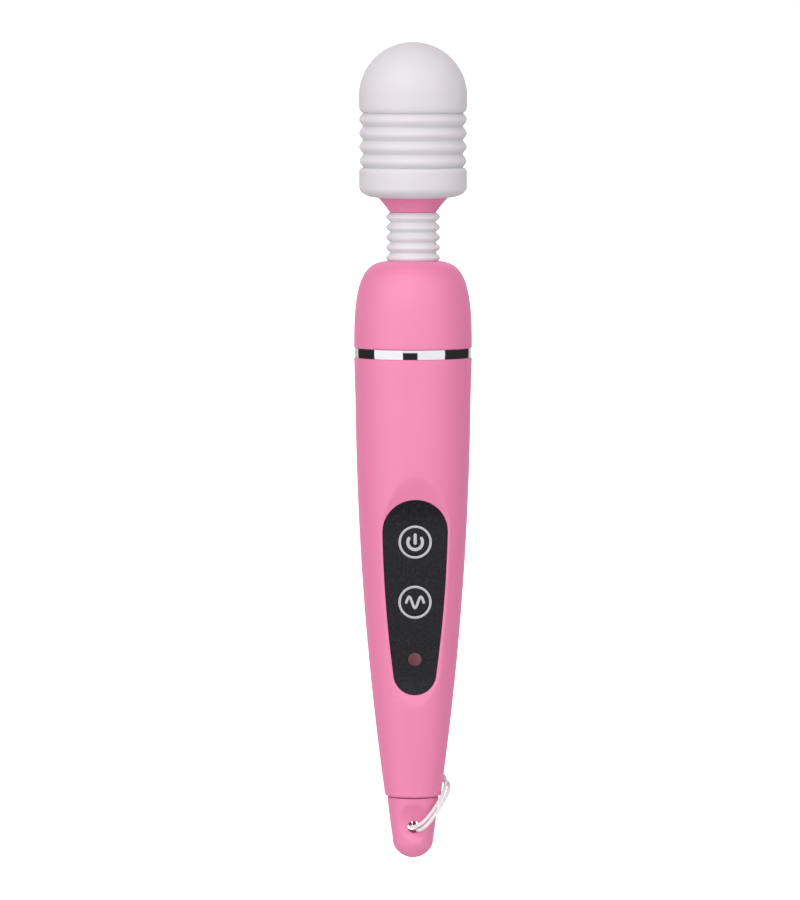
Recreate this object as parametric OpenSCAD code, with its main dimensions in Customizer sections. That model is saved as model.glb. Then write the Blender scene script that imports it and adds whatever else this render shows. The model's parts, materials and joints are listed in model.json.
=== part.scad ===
// Handheld wand massager: a rechargeable wand with a flexible ribbed neck, a soft round head,
// a tapered grip with a sunken control panel, and a pull-off end cap with a hanging loop.
// The wand stands on its long axis: +Z runs from the end cap's tip to the head, and the panel faces -Y.

/* [Grip] */
// Length of the grip shell, from the end-cap seam to the trim ring
grip_length = 131.9; // [120:0.1:160]
// Radius of the grip just below the trim ring's flare
grip_r = 17.4; // [16.4:0.1:21]
// Radius of the grip at the end-cap seam
tail_r = 8.4; // [8.2:0.1:10.2]
// Wall of the grip and the shoulder
wall = 2; // [1.6:0.1:2.4]
// How much the grip flares out to meet the trim ring
flare = 0.3; // [0:0.05:0.8]
// Height over which the grip flares
flare_height = 12; // [6:1:20]
// Power of the curve by which the grip narrows
taper_power = 2.06; // [1.6:0.02:2.6]

/* [Trim ring and shoulder] */
// Visible height of the trim ring
ring_height = 3; // [1.5:0.1:4]
// How far the ring sits inside the shoulder's surface
ring_inset = 0.25; // [0.1:0.05:0.6]
// How much the ring's face swells between its edges
ring_crown = 0.05; // [0:0.05:0.4]
// Height of the shoulder above the ring
shoulder_height = 26.1; // [24:0.1:34]
// Depth of the spigot by which the shoulder enters the grip
spigot_depth = 8; // [6:0.5:10]

/* [End cap] */
// Height of the end cap
cap_height = 18.4; // [17:0.1:22]
// Radius of the cap at the seam
cap_r = 7.75; // [7.5:0.05:9.3]
// Visible gap between the cap and the grip
seam_gap = 0.3; // [0.3:0.1:0.9]
// Radius of the hole for the hanging loop
loop_hole_r = 1.8; // [1.5:0.1:2]
// Height of that hole above the cap's tip
loop_hole_z = 9.7; // [9.2:0.1:10]
// Depth of the thumb-sized hollows around the hole, front and back
hollow_depth = 1.4; // [0.8:0.1:1.8]
// Half the height of those hollows
hollow_half = 5.5; // [4.5:0.1:6]

/* [Neck] */
// Visible height of the ribbed neck
neck_length = 14.6; // [12:0.1:18]
// Radius over the ribs
neck_r = 8.15; // [7.9:0.05:9.5]
// Depth of the grooves between the ribs
neck_groove = 1.2; // [0.8:0.05:1.4]
// Number of ribs on the neck
neck_ribs = 5; // [4:1:6]
// Wall of the neck's rubber
neck_wall = 1; // [0.8:0.1:1.1]
// Outer radius of the coil spring in the neck
spring_r = 4.7; // [4.2:0.1:4.8]
// Wire radius of the spring
spring_wire_r = 0.6; // [0.4:0.05:0.7]

/* [Head] */
// Radius of the head over its dome
head_r = 16.2; // [15.8:0.1:20]
// Height of the head, from its lip to the top of the dome
head_height = 46.6; // [44:0.1:56]
// Wall of the head's soft cap
skin = 2.5; // [2:0.1:3]
// Number of massage ribs around the head
head_ribs = 4; // [3:1:5]
// Distance from one massage rib to the next
head_rib_pitch = 4.12; // [3.6:0.02:4.4]
// Depth of the grooves beside the ribs
head_groove = 1.2; // [0.6:0.05:1.3]
// Height of the smooth straight band at the foot of the head
band_height = 4.6; // [3.6:0.1:6]
// Height of the pink cone between the neck and the head
cone_height = 4.2; // [3.6:0.1:5]
// Radius of the cone where it meets the head
cone_r = 10.5; // [10:0.1:11]

/* [Control panel] */
// Radius of the panel's upper end
panel_top_r = 9.7; // [8.4:0.1:10]
// Radius of the panel's lower end
panel_bottom_r = 6.4; // [5.4:0.1:7]
// Distance from the middle of the lower button to the panel's top
panel_up = 30.9; // [29:0.1:33]
// Distance from the middle of the lower button to the panel's bottom
panel_down = 27.8; // [26:0.1:30]
// Depth of the sunken face below the grip's surface, at the lower button
recess_depth = 3.35; // [3:0.05:4]
// Lean of the sunken face from the long axis, in degrees
face_lean = 2.46; // [1.5:0.01:3]
// Thickness of the panel
panel_thickness = 1.35; // [1:0.05:1.6]
// Outer radius of the buttons' bright rings
bezel_r = 5; // [4.5:0.1:5.6]
// Width of those rings
bezel_width = 0.75; // [0.5:0.05:0.9]
// Distance between the two buttons
button_pitch = 18.1; // [16:0.1:19]
// How far a button travels
button_travel = 0.5; // [0.2:0.1:0.6]
// Distance from the lower button down to the indicator
lamp_drop = 17.3; // [15:0.1:18]
// Radius of the indicator lens
lamp_r = 2; // [1.2:0.1:2.2]

/* [Electrics] */
// Radius of the rechargeable cell
cell_r = 9.2; // [7:0.1:10.4]
// Length of the cell
cell_length = 64.5; // [50:0.5:70]
// Thickness of the circuit board
board_thickness = 1.2; // [0.8:0.1:1.6]
// Radius of the motor
motor_r = 10; // [8.4:0.1:10.2]
// Length of the motor's can
can_length = 22; // [18:0.5:24]
// Radius of the motor's shaft
shaft_r = 1; // [0.75:0.05:1.25]
// Radius of the eccentric weight
weight_r = 8.2; // [6:0.1:8.6]
// Height of the eccentric weight
weight_height = 7; // [5:0.5:8]
// Radius of the charging socket's hole
socket_r = 1.3; // [1:0.05:1.5]
// Depth of the charging socket's hole
socket_depth = 9.7; // [8:0.1:10.5]

/* [Hidden] */
// Clearances. fit: a close seat between pieces that do not move; run: a shaft in its bearing;
// glide: a button in its hole; clear: room beside a piece that is not guided.
fit = 0.05;
run = 0.05;
glide = 0.15;
clear = 0.4;

// Heights along the wand
seam_z = cap_height + seam_gap;
mouth_z = seam_z + grip_length;
shoulder_z = mouth_z + ring_height;
neck_z = shoulder_z + shoulder_height;
cone_z = neck_z + neck_length;
head_z = cone_z + cone_height;
top_z = head_z + head_height;
pivot_z = neck_z + neck_length / 2;

// Shoulder and its joint with the grip
shoulder_r = grip_r + flare;
shoulder_n = 5.2;
shoulder_m = 2.8;
mouth_r = grip_r - wall;
spigot_r = mouth_r - 0.1;
spigot_wall = 1.5;
ring_r = shoulder_r - ring_inset;
seal_z = mouth_z - spigot_depth / 2;
seal_r = 0.5;
seal_slack = 0.02;

// Seat of the neck in the shoulder
neck_valley_r = neck_r - neck_groove;
neck_pitch = neck_length / (neck_ribs - 0.2);
neck_start = cone_z - neck_ribs * neck_pitch;
cone_low_r = neck_r - 0.9;
neck_hole_r = neck_valley_r + fit;
neck_foot_wall = 1.15;
seat_flange_r = neck_valley_r + 2.1;
seat_bottom_z = neck_z - 5.4;
seat_plate = 2;
seat_r = 11.6;
seat_screw_circle = 10.3;
neck_shelf_z = seat_bottom_z + seat_plate + 0.8;
seat_screw_r = 0.75;
lead_hole_r = 3.6;

// Cell, cradle and circuit board, stacked down from the seat
bulkhead = 1.6;
pad = 0.8;
cell_top_z = seat_bottom_z - 2 - bulkhead - pad;
cell_bottom_z = cell_top_z - cell_length;
board_top_z = cell_bottom_z - pad - bulkhead - clear;
board_up = 24.8;
panel_z = board_top_z - board_up * cos(face_lean);
board_down = 26;
board_depth = 7.6;
cradle_screw_circle = spigot_r - spigot_wall - 2.4;
cradle_screw_r = 0.8;
screw_head_r = 1.6;
boss_r = 2;
cradle_boss_z = cell_top_z + pad + bulkhead;
trough_gap = 0.2;
trough_wall = 1.5;
spine_y = 2.4;
spine_thickness = 1.8;
spine_half = 5;
spine_low_z = panel_z - board_down + 1;
post_r = 1.9;
board_screw_x = 4.2;
board_screw_u = [-board_down + 4, 9];
board_screw_r = 0.7;

// Sunken face and panel
face_slope = tan(face_lean);
face_wall = 2.8;
ramp_top = panel_z + 24.3;
ramp_top_slope = 0.28;
ramp_bottom = panel_z - 23;
ramp_bottom_slope = 0.213;
pocket_depth = 1.5;
pocket_gap = 0.1;
ledge = 1.4;
panel_bulge = 0.6;

// Buttons, measured down from the sunken face
panel_recess = 0.15;
key_r = bezel_r - bezel_width - glide;
key_proud = 0.05;
flange_depth = pocket_depth + 0.2;
flange_height = 0.7;
flange_r = bezel_r - 0.35;
stem_r = 1.5;
switch_height = 3.5;
switch_top = board_depth - switch_height;
plunger_r = 1.7;
plunger_top = switch_top - 1.2;
plunger_length = 1.9;
print_height = 0.1;
symbol_z = -panel_recess + key_proud;
symbol_r = 2.2;
symbol_line = 0.95;
symbol_gap = 58;
wave_length = 3.5;
wave_half = 0.75 * wave_length;
wave_height = 1.65;

// End cap and charging socket
tail_bore_r = 4.65;
tail_spigot_r = tail_bore_r - fit;
tail_length = 5.8;
tail_end_z = seam_z - tail_length;
cap_cavity_r = 5;
cap_floor_z = tail_end_z - 0.35;
tail_seal_z = tail_end_z + 2.4;
tail_seal_r = 0.55;
jack_r = 2.9;
jack_end_z = tail_end_z + 0.4;
jack_length = socket_depth + 1.5;
cap_end_height = 5.4;
cap_edge = 0.25;
grip_edge = 0.9;

// Head
core_r = head_r - skin;
core_wall = 1.6;
lip = 2.2;
dome_z = top_z - head_r;
plate_z = head_z + lip;
plate_height = 1.8;
plate_bore_r = 8.2;
core_z = plate_z + plate_height;
rim_r = motor_r + 0.4;
rim_height = 3;
head_screw_circle = (rim_r + core_r) / 2;
head_screw_r = 0.8;
first_groove_z = dome_z - 4.9;
rib_low_z = first_groove_z - head_ribs * head_rib_pitch;
foot_centre_z = head_z + 3.3;
band_top_z = foot_centre_z + band_height;
groove_bottom_r = head_r - head_groove;
upper_foot_r = 5.9;
upper_flange_r = 7.9;
upper_flange_z = cone_z + 3.3;
upper_seat_z = upper_flange_z + 1.2;
spring_low = seat_bottom_z + 1 + spring_wire_r + 0.02;
spring_high = upper_seat_z - spring_wire_r - 0.02;
spring_turns = floor((spring_high - spring_low) / (2.3 * spring_wire_r));
can_z = core_z + 1.6;
can_wall = 0.8;
can_top_z = can_z + can_length;
endbell_z = upper_seat_z + 2.2;
bush_height = 2.2;
bush_r = 2.4;
terminal_height = 0.8;
terminal_x = 1.6;
weight_z = can_top_z + 2.6;
armature_r = motor_r - can_wall - 2.3;
magnet_thickness = 1.7;

// Hanging loop: a cord of two turns through the hole in the end cap
cord_r = 0.55;
cord_route = [
  [-0.7, 0.4, 9.8], [-0.7, -2.6, 9.8], [-0.6, -5.2, 9.8], [-0.2, -6.9, 9.9], [1.0, -8.1, 10.4],
  [2.9, -8.4, 11.7], [4.9, -7.8, 13.9], [6.8, -6.4, 16.4], [8.4, -4.4, 18.8], [9.5, -1.7, 21.2],
  [9.9, 1.2, 23.2], [9.4, 4.2, 24.3], [8.0, 6.8, 24.1], [6.0, 8.6, 22.4], [4.0, 9.4, 19.8],
  [2.4, 9.5, 16.9], [1.3, 9.1, 14.1], [0.8, 8.1, 11.7], [0.7, 6.4, 10.1], [0.6, 4.0, 9.8],
  [0.6, 0.6, 9.8], [0.6, -2.8, 9.8], [0.7, -5.2, 9.4], [1.3, -7.1, 9.0], [2.7, -8.5, 9.75],
  [4.45, -8.8, 11.44], [6.22, -8.0, 13.65], [7.93, -6.5, 16.04], [9.43, -4.3, 18.23], [10.58, -1.5, 20.1],
  [10.98, 1.6, 21.52], [10.6, 4.7, 22.3], [9.1, 7.5, 22.3], [6.9, 9.5, 20.9], [4.7, 10.5, 18.5],
  [2.8, 10.8, 15.7], [1.0, 10.4, 13.1], [-0.3, 9.0, 11.1], [-0.7, 6.8, 10.0], [-0.7, 4.9, 9.8],
  [-0.7, 2.9, 9.8], [-0.7, 0.8, 9.8]
];

// Leads inside the wand, and what they are soldered or plugged to
lead_r = 0.5;
lead_x = 1.2;
connector_height = 3.6;
connector_depth = 3;
connector_u = board_up - 1.8;
tail_connector_u = -board_down + 2.4;
strap_y = -(cell_r - 1.4);
contact_height = 1.2;
lead_y = -(cell_r + lead_r + 0.35);
solder = 0.15;
straight = 0.7;

pink = "hotpink";
white = "whitesmoke";

// ---------- outlines ----------

// The grip's outer radius at height z: a power curve that narrows from the ring to the tail
function grip_taper(z) =
  grip_r - (grip_r - tail_r) * pow(max(0, mouth_z - z) / grip_length, taper_power)
  + flare * max(0, 1 - (mouth_z - z) / flare_height);

// A quarter round of radius r about a corner, from angle a to angle b
function corner(cx, cz, r, a, b, steps = 4) =
  [for (i = [0 : steps]) let (t = a + (b - a) * i / steps) [cx + r * cos(t), cz + r * sin(t)]];

// The grip's outer outline from its lower edge to its mouth, pulled in by inset
function grip_outline(inset, low, high, steps = 20) =
  [for (i = [0 : steps]) let (z = low + (high - low) * i / steps) [grip_taper(z) - inset, z]];

// The shoulder's outline: a superellipse, pulled in by inset, up to the radius stop_r
function shoulder_outline(inset, stop_r, steps = 16) =
  let (
    a = shoulder_r - inset,
    b = shoulder_height - inset,
    last = acos(pow(stop_r / a, shoulder_n / 2))
  )
  [for (i = [0 : steps]) let (t = last * (1 - pow(1 - i / steps, 1.5)))
    [a * pow(cos(t), 2 / shoulder_n), shoulder_z + b * pow(sin(t), 2 / shoulder_m)]];

// Distance of the sunken face from the long axis: a leaning plane that ramps out at both ends
function soft_ramp(d, round) = (sqrt(d * d + round * round) + d) / 2;
function face_y(z) =
  grip_taper(panel_z) - recess_depth + face_slope * (z - panel_z)
  + ramp_top_slope * soft_ramp(z - ramp_top, 1.2)
  + ramp_bottom_slope * soft_ramp(ramp_bottom - z, 1);

// Half width of the panel at a distance u above the lower button
panel_top_centre = panel_up - panel_top_r;
panel_bottom_centre = -panel_down + panel_bottom_r;
function panel_half(u) =
  let (s = (u - panel_bottom_centre) / (panel_top_centre - panel_bottom_centre))
  u > panel_top_centre ? sqrt(max(0, pow(panel_top_r, 2) - pow(u - panel_top_centre, 2)))
  : u < panel_bottom_centre ? sqrt(max(0, pow(panel_bottom_r, 2) - pow(u - panel_bottom_centre, 2)))
  : panel_bottom_r + (panel_top_r - panel_bottom_r) * s + panel_bulge * 4 * s * (1 - s);

// The panel's outline, from heights that crowd towards its two ends
function panel_heights(steps = 22) =
  [for (i = [0 : steps]) (panel_up - panel_down) / 2 - (panel_up + panel_down) / 2 * cos(180 * i / steps)];
module panel_outline(grow = 0) {
  offset_scale = [1 + grow / panel_top_r, 1 + 2 * grow / (panel_up + panel_down)];
  heights = panel_heights();
  scale(offset_scale)
    polygon(concat(
      [for (u = heights) [panel_half(u), u]],
      [for (i = [len(heights) - 2 : -1 : 1]) [-panel_half(heights[i]), heights[i]]]
    ));
}

// ---------- building tools ----------

// Stands a child on the sunken face: its X stays, its Y climbs the face and its Z points out of it
module on_face(u = 0, depth = 0) {
  translate([0, -(grip_taper(panel_z) - recess_depth), panel_z])
    rotate([90 + face_lean, 0, 0])
      translate([0, u, -depth]) children();
}

// The same place as a point: x across, u up the face and depth below it
function face_point(x, u, depth) = [
  x,
  -(grip_taper(panel_z) - recess_depth) - u * sin(face_lean) + depth * cos(face_lean),
  panel_z + u * cos(face_lean) + depth * sin(face_lean)
];

// Everything between two depths below the sunken face, across its whole width
module face_band(near, far, low, high, steps = 30) {
  half = grip_r + 6;
  heights = [for (i = [0 : steps]) low + (high - low) * i / steps];
  rotate([90, 0, 90])
    linear_extrude(2 * half, center = true)
      polygon(concat(
        [for (z = heights) [-face_y(z) + near, z]],
        [for (i = [steps : -1 : 0]) [-face_y(heights[i]) + far, heights[i]]]
      ));
}

module ring_of(count, radius, from = 0) {
  for (i = [0 : count - 1]) rotate([0, 0, from + 360 * i / count]) translate([radius, 0, 0]) children();
}

module tube(outer, inner, low, high) {
  translate([0, 0, low]) difference() {
    cylinder(r = outer, h = high - low, $fn = 96);
    translate([0, 0, -1]) cylinder(r = inner, h = high - low + 2, $fn = 96);
  }
}

module disc(radius, low, high, sides = 96) {
  translate([0, 0, low]) cylinder(r = radius, h = high - low, $fn = sides);
}

// A pan-head screw with a cross slot, its head's underside at the origin and its shank down -Z
module screw(shank_r, length, head_r, head_height) {
  difference() {
    union() {
      translate([0, 0, -length]) cylinder(r = shank_r, h = length, $fn = 24);
      cylinder(r1 = head_r, r2 = head_r * 0.8, h = head_height, $fn = 32);
    }
    for (a = [0, 90]) rotate([0, 0, a])
      translate([-head_r * 0.6, -head_r * 0.13, head_height * 0.45])
        cube([head_r * 1.2, head_r * 0.26, head_height]);
  }
}

// A smooth curve through the points of a route, with a few steps between each pair
function between(p, i, t) =
  let (
    a = p[max(i - 1, 0)], b = p[i], c = p[i + 1], d = p[min(i + 2, len(p) - 1)]
  )
  0.5 * (2 * b + (c - a) * t + (2 * a - 5 * b + 4 * c - d) * t * t + (3 * b - a - 3 * c + d) * t * t * t);
function smooth(p, steps) = concat(
  [for (i = [0 : len(p) - 2]) for (k = [0 : steps - 1]) between(p, i, k / steps)],
  [p[len(p) - 1]]
);

// Sweeps a round section along a line of points, turning the section as little as possible
function unit(v) = v / norm(v);
function heading(p, i) = unit(p[min(i + 1, len(p) - 1)] - p[max(i - 1, 0)]);
function carried(p, i, n) = let (t = heading(p, i)) unit(n - t * (n * t));
function normals(p, first, i = 0, found = []) =
  i == len(p) ? found
  : let (n = carried(p, i, i == 0 ? first : found[i - 1]))
    normals(p, first, i + 1, concat(found, [n]));
module swept(p, radius, sides = 8, first = [1, 0, 0]) {
  n = normals(p, first);
  rings = [for (i = [0 : len(p) - 1]) let (t = heading(p, i), b = cross(t, n[i]))
    for (k = [0 : sides - 1]) p[i] + radius * (cos(360 * k / sides) * n[i] + sin(360 * k / sides) * b)];
  last = (len(p) - 1) * sides;
  polyhedron(
    points = rings,
    faces = concat(
      [[for (k = [0 : sides - 1]) sides - 1 - k]],
      [for (i = [0 : len(p) - 2]) for (k = [0 : sides - 1])
        [i * sides + k, i * sides + (k + 1) % sides, (i + 1) * sides + (k + 1) % sides, (i + 1) * sides + k]],
      [[for (k = [0 : sides - 1]) last + k]]
    ),
    convexity = 6
  );
}

// ---------- grip ----------

module grip_solid() {
  edge_r = grip_taper(seam_z + grip_edge);
  rotate_extrude($fn = 128)
    polygon(concat(
      [[0, seam_z]],
      corner(edge_r - grip_edge, seam_z + grip_edge, grip_edge, -90, 0),
      [for (p = grip_outline(0, seam_z + grip_edge, mouth_z - 0.3)) if (p[1] > seam_z + grip_edge) p],
      [[grip_taper(mouth_z) - 0.3, mouth_z], [0, mouth_z]]
    ));
}

// The grip's hollow, pulled in by inset, with the back of the sunken face taken off
module grip_hollow(inset = 0, high = mouth_z + 1) {
  floor_z = seam_z + 1.8;
  difference() {
    rotate_extrude($fn = 128)
      polygon(concat(
        [[0, floor_z + inset]],
        [for (p = grip_outline(wall + inset, floor_z, mouth_z - spigot_depth - 2, 14))
          [p[0], max(p[1], floor_z + inset)]],
        [[mouth_r - inset, mouth_z - spigot_depth - 1.5], [mouth_r - inset, high], [0, high]]
      ));
    face_band(-grip_r, face_wall + inset, ramp_bottom - 16, ramp_top + 18);
  }
}

module grip_shell() color(pink)
  difference() {
    grip_solid();
    grip_hollow();
    face_band(-grip_r, 0, ramp_bottom - 16, ramp_top + 18);
    intersection() {
      on_face(0, grip_r) linear_extrude(grip_r + 4) panel_outline(pocket_gap);
      face_band(-1, pocket_depth, panel_z - panel_down - 2, panel_z + panel_up + 2);
    }
    on_face(0, 6) linear_extrude(8) panel_outline(-ledge);
    disc(tail_bore_r, seam_z - 1, seam_z + 3);
  }

module shoulder_shell() color(pink)
  difference() {
    union() {
      rotate_extrude($fn = 128)
        polygon(concat(
          [[0, shoulder_z], [shoulder_r - 0.3, shoulder_z], [shoulder_r, shoulder_z + 0.3]],
          [for (p = shoulder_outline(0, neck_hole_r)) if (p[1] > shoulder_z + 0.5) p],
          [[0, shoulder_outline(0, neck_hole_r)[16][1]]]
        ));
      disc(spigot_r, mouth_z - spigot_depth, shoulder_z + 1);
    }
    difference() {
      rotate_extrude($fn = 128)
        polygon(concat(
          [[0, mouth_z - spigot_depth - 1], [spigot_r - spigot_wall, mouth_z - spigot_depth - 1]],
          [for (p = shoulder_outline(wall, 2)) [min(p[0], spigot_r - spigot_wall), p[1]]],
          [[0, shoulder_outline(wall, 2)[16][1]]]
        ));
      cradle_bosses();
      seat_bosses();
    }
    difference() {
      disc(seat_r + 0.2, seat_bottom_z - 2, seat_bottom_z + seat_plate);
      cradle_bosses();
    }
    disc(seat_flange_r + fit, seat_bottom_z, neck_shelf_z + fit);
    disc(neck_hole_r, neck_z - 8, neck_z + 1);
    tube(spigot_r + 1, mouth_r - 2 * (seal_r + seal_slack), seal_z - seal_r - 0.1, seal_z + seal_r + 0.1);
    ring_of(2, cradle_screw_circle) disc(cradle_screw_r, cradle_boss_z - 1, cradle_boss_z + 5, 24);
    ring_of(3, seat_screw_circle, 90) disc(seat_screw_r, seat_bottom_z, seat_bottom_z + seat_plate + 1.6, 24);
  }

module cradle_bosses() {
  ring_of(2, cradle_screw_circle) disc(boss_r, cradle_boss_z, neck_z, 48);
}
module seat_bosses() {
  tube(seat_r, seat_flange_r + fit, seat_bottom_z + seat_plate, neck_z);
}

// The ring's outer face is crowned: it swells by ring_crown between its two edges
module trim_ring() color("silver")
  rotate_extrude($fn = 160)
    polygon(concat(
      [[spigot_r + fit, mouth_z]],
      [for (i = [0 : 10]) let (s = i / 5 - 1) [ring_r - ring_crown * s * s, mouth_z + ring_height * i / 10]],
      [[spigot_r + fit, shoulder_z]]
    ));

module shoulder_seal() color("dimgray")
  rotate_extrude($fn = 96) translate([mouth_r - seal_slack - seal_r, seal_z]) circle(seal_r, $fn = 32);

// ---------- control panel ----------

module control_panel() color("#1c1c1e")
  difference() {
    intersection() {
      on_face(0, grip_r) linear_extrude(grip_r + 4) panel_outline();
      face_band(panel_recess, panel_recess + panel_thickness, panel_z - panel_down - 2, panel_z + panel_up + 2);
    }
    for (u = [0, button_pitch]) on_face(u, 3) cylinder(r = bezel_r, h = 5, $fn = 96);
    on_face(-lamp_drop, 3) cylinder(r = lamp_r + fit, h = 5, $fn = 64);
  }

module bezel(u) color("silver")
  on_face(u, panel_recess + panel_thickness) difference() {
    union() {
      cylinder(r = bezel_r - 0.01, h = panel_recess + panel_thickness - 0.1, $fn = 96);
      cylinder(r = bezel_r - 0.12, h = panel_recess + panel_thickness, $fn = 96);
    }
    translate([0, 0, -1]) cylinder(r = bezel_r - bezel_width, h = 5, $fn = 96);
  }

module power_bezel() bezel(button_pitch);
module mode_bezel() bezel(0);

module indicator_lens() color("#a04050")
  on_face(-lamp_drop, 0) {
    translate([0, 0, -pocket_depth]) cylinder(r = lamp_r, h = pocket_depth - panel_recess, $fn = 64);
    translate([0, 0, -pocket_depth - 0.7]) cylinder(r = lamp_r + 0.8, h = 0.7, $fn = 64);
  }

module button(u) color("#1c1c1e")
  on_face(u, 0) {
    translate([0, 0, -flange_depth - 0.01]) cylinder(r = key_r, h = flange_depth - panel_recess + key_proud, $fn = 96);
    translate([0, 0, -flange_depth - flange_height]) cylinder(r = flange_r, h = flange_height, $fn = 96);
    translate([0, 0, -plunger_top]) cylinder(r = stem_r, h = plunger_top - flange_depth, $fn = 48);
  }

module plunger(u) color("white")
  on_face(u, plunger_top + plunger_length) cylinder(r = plunger_r, h = plunger_length, $fn = 48);

module power_button() button(button_pitch);
module mode_button() button(0);
module power_plunger() plunger(button_pitch);
module mode_plunger() plunger(0);

// The printed symbols stand print_height proud of the keys.
// A broken ring with a bar through the gap: the general sign for power
module power_symbol() color("silver")
  on_face(button_pitch, 0) translate([0, 0, symbol_z]) linear_extrude(print_height) {
    difference() {
      circle(symbol_r + symbol_line / 2, $fn = 64);
      circle(symbol_r - symbol_line / 2, $fn = 64);
      polygon([[0, 0], [-4 * tan(symbol_gap), 4], [4 * tan(symbol_gap), 4]]);
    }
    for (side = [-1, 1])
      translate(symbol_r * [side * sin(symbol_gap), cos(symbol_gap)]) circle(symbol_line / 2, $fn = 32);
    for (y = [-0.3, symbol_r]) translate([0, y]) circle(symbol_line / 2, $fn = 32);
    translate([-symbol_line / 2, -0.3]) square([symbol_line, symbol_r + 0.3]);
  }

// A wave of one and a half periods: the sign for a change of rhythm
module mode_symbol() color("silver")
  on_face(0, 0) translate([0, 0, symbol_z]) linear_extrude(print_height) offset(r = 0.38, $fn = 32) {
    xs = [for (i = [0 : 30]) wave_half * (i / 15 - 1)];
    polygon(concat(
      [for (x = xs) [x, wave_height * sin(360 * (x + wave_half) / wave_length) + 0.02]],
      [for (i = [30 : -1 : 0]) [xs[i], wave_height * sin(360 * (xs[i] + wave_half) / wave_length) - 0.02]]
    ));
  }

// ---------- circuit board ----------

// Half the width that the hollow leaves for the board at a height z
function board_half(z) = min(7.5, sqrt(pow(grip_taper(z) - wall, 2) - pow(face_y(z) - board_depth, 2)) - 0.6);
board_low_half = board_half(panel_z - board_down);
board_high_half = board_half(board_top_z - 3);

module circuit_board() color("darkgreen")
  on_face(0, board_depth + board_thickness) difference() {
    linear_extrude(board_thickness)
      polygon([
        [-board_low_half, -board_down], [board_low_half, -board_down],
        [board_high_half, -board_down + 14], [board_high_half, board_up - 1],
        [board_high_half - 1, board_up], [-board_high_half + 1, board_up],
        [-board_high_half, board_up - 1], [-board_high_half, -board_down + 14]
      ]);
    for (u = board_screw_u, x = [-board_screw_x, board_screw_x])
      translate([x, u, -1]) cylinder(r = board_screw_r + 0.1, h = 4, $fn = 24);
  }

module chip(x, u, width, length, height, back = false) {
  on_face(u, back ? board_depth + board_thickness + height : board_depth)
    translate([x - width / 2, -length / 2, 0]) cube([width, length, height]);
}

module board_parts() color("#303236") {
  chip(0, 4, 4, 5, 1.5, true);
  chip(0, -6, 5, 4, 1.4, true);
  chip(-4.6, -10, 2, 1.3, 0.8);
  chip(4.6, -10, 2, 1.3, 0.8);
  chip(0, -10.2, 3, 3, 1.2);
  for (x = [-1.4, 1.4]) chip(x, 9.1, 1.6, 0.9, 0.6);
  on_face(15, board_depth + board_thickness + 4) cylinder(r = 2.2, h = 4, $fn = 48);
}

module lead_connectors() color("ivory") {
  for (x = [-3.6, 3.6]) chip(x, connector_u, 5, connector_depth, connector_height);
  chip(0, tail_connector_u, 4, connector_depth, connector_height, true);
}

module push_switches() color("dimgray")
  for (u = [0, button_pitch]) on_face(u, board_depth) difference() {
    translate([-3.1, -3.1, 0]) cube([6.2, 6.2, switch_height]);
    translate([0, 0, switch_height - 2])
      cylinder(r = plunger_r + glide, h = 3, $fn = 48);
  }

module indicator_lamp() color("crimson")
  on_face(-lamp_drop, board_depth) {
    cylinder(r = 1.8, h = 0.6, $fn = 48);
    cylinder(r = 1.5, h = board_depth - pocket_depth - 2.6, $fn = 48);
    translate([0, 0, board_depth - pocket_depth - 2.6]) sphere(r = 1.5, $fn = 48);
  }

module board_screws() color("silver")
  for (u = board_screw_u, x = [-board_screw_x, board_screw_x])
    on_face(u, board_depth) translate([x, 0, 0]) screw(board_screw_r, 4, 1.3, 0.8);

// ---------- cradle and cell ----------

module cell_cradle() color("gainsboro")
  difference() {
    union() {
      // trough round the back of the cell
      difference() {
        disc(cell_r + trough_gap + trough_wall, cell_bottom_z - pad - bulkhead, cell_top_z + pad + bulkhead);
        disc(cell_r + trough_gap, cell_bottom_z - pad, cell_top_z + pad);
        translate([-20, -20 - 2.5, cell_bottom_z - pad]) cube([40, 20, cell_length + 2 * pad]);
      }
      // upper bulkhead, screwed up into the shoulder
      disc(spigot_r - spigot_wall - 0.4, cell_top_z + pad, cell_top_z + pad + bulkhead);
      // lower bulkhead, which fills the grip's hollow
      intersection() {
        grip_hollow(0.3);
        disc(grip_r, cell_bottom_z - pad - bulkhead, cell_bottom_z - pad);
      }
      // spine behind the circuit board, with its four posts
      translate([-spine_half, spine_y, spine_low_z])
        cube([2 * spine_half, spine_thickness, cell_bottom_z - pad - spine_low_z]);
      for (u = board_screw_u, x = [-board_screw_x, board_screw_x]) intersection() {
        on_face(u, board_depth + board_thickness + 12) translate([x, 0, 0]) cylinder(r = post_r, h = 12, $fn = 48);
        translate([-20, -20, spine_low_z - 10]) cube([40, 20 + spine_y + 0.5, 120]);
      }
    }
    // way for the leads, at the front of both bulkheads
    translate([-6, -30, cell_bottom_z - 10]) cube([12, 30 - cell_r + 1.2, cell_length + 30]);
    translate([-6, -30, cell_bottom_z - 10]) cube([12, 30 + plug_top(0)[1] + 1.2, 10 - pad / 2]);
    ring_of(2, cradle_screw_circle) disc(screw_head_r + 0.3, cell_top_z - 2, cell_top_z + pad, 32);
    ring_of(2, cradle_screw_circle) disc(cradle_screw_r + 0.15, cell_top_z, cell_top_z + 6, 24);
    for (u = board_screw_u, x = [-board_screw_x, board_screw_x])
      on_face(u, board_depth + board_thickness + 3.2) translate([x, 0, 0]) cylinder(r = board_screw_r, h = 4, $fn = 24);
  }

module cradle_screws() color("silver")
  ring_of(2, cradle_screw_circle) translate([0, 0, cell_top_z + pad]) rotate([180, 0, 0])
    screw(cradle_screw_r, bulkhead + 4.5, screw_head_r, 0.8);

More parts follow.
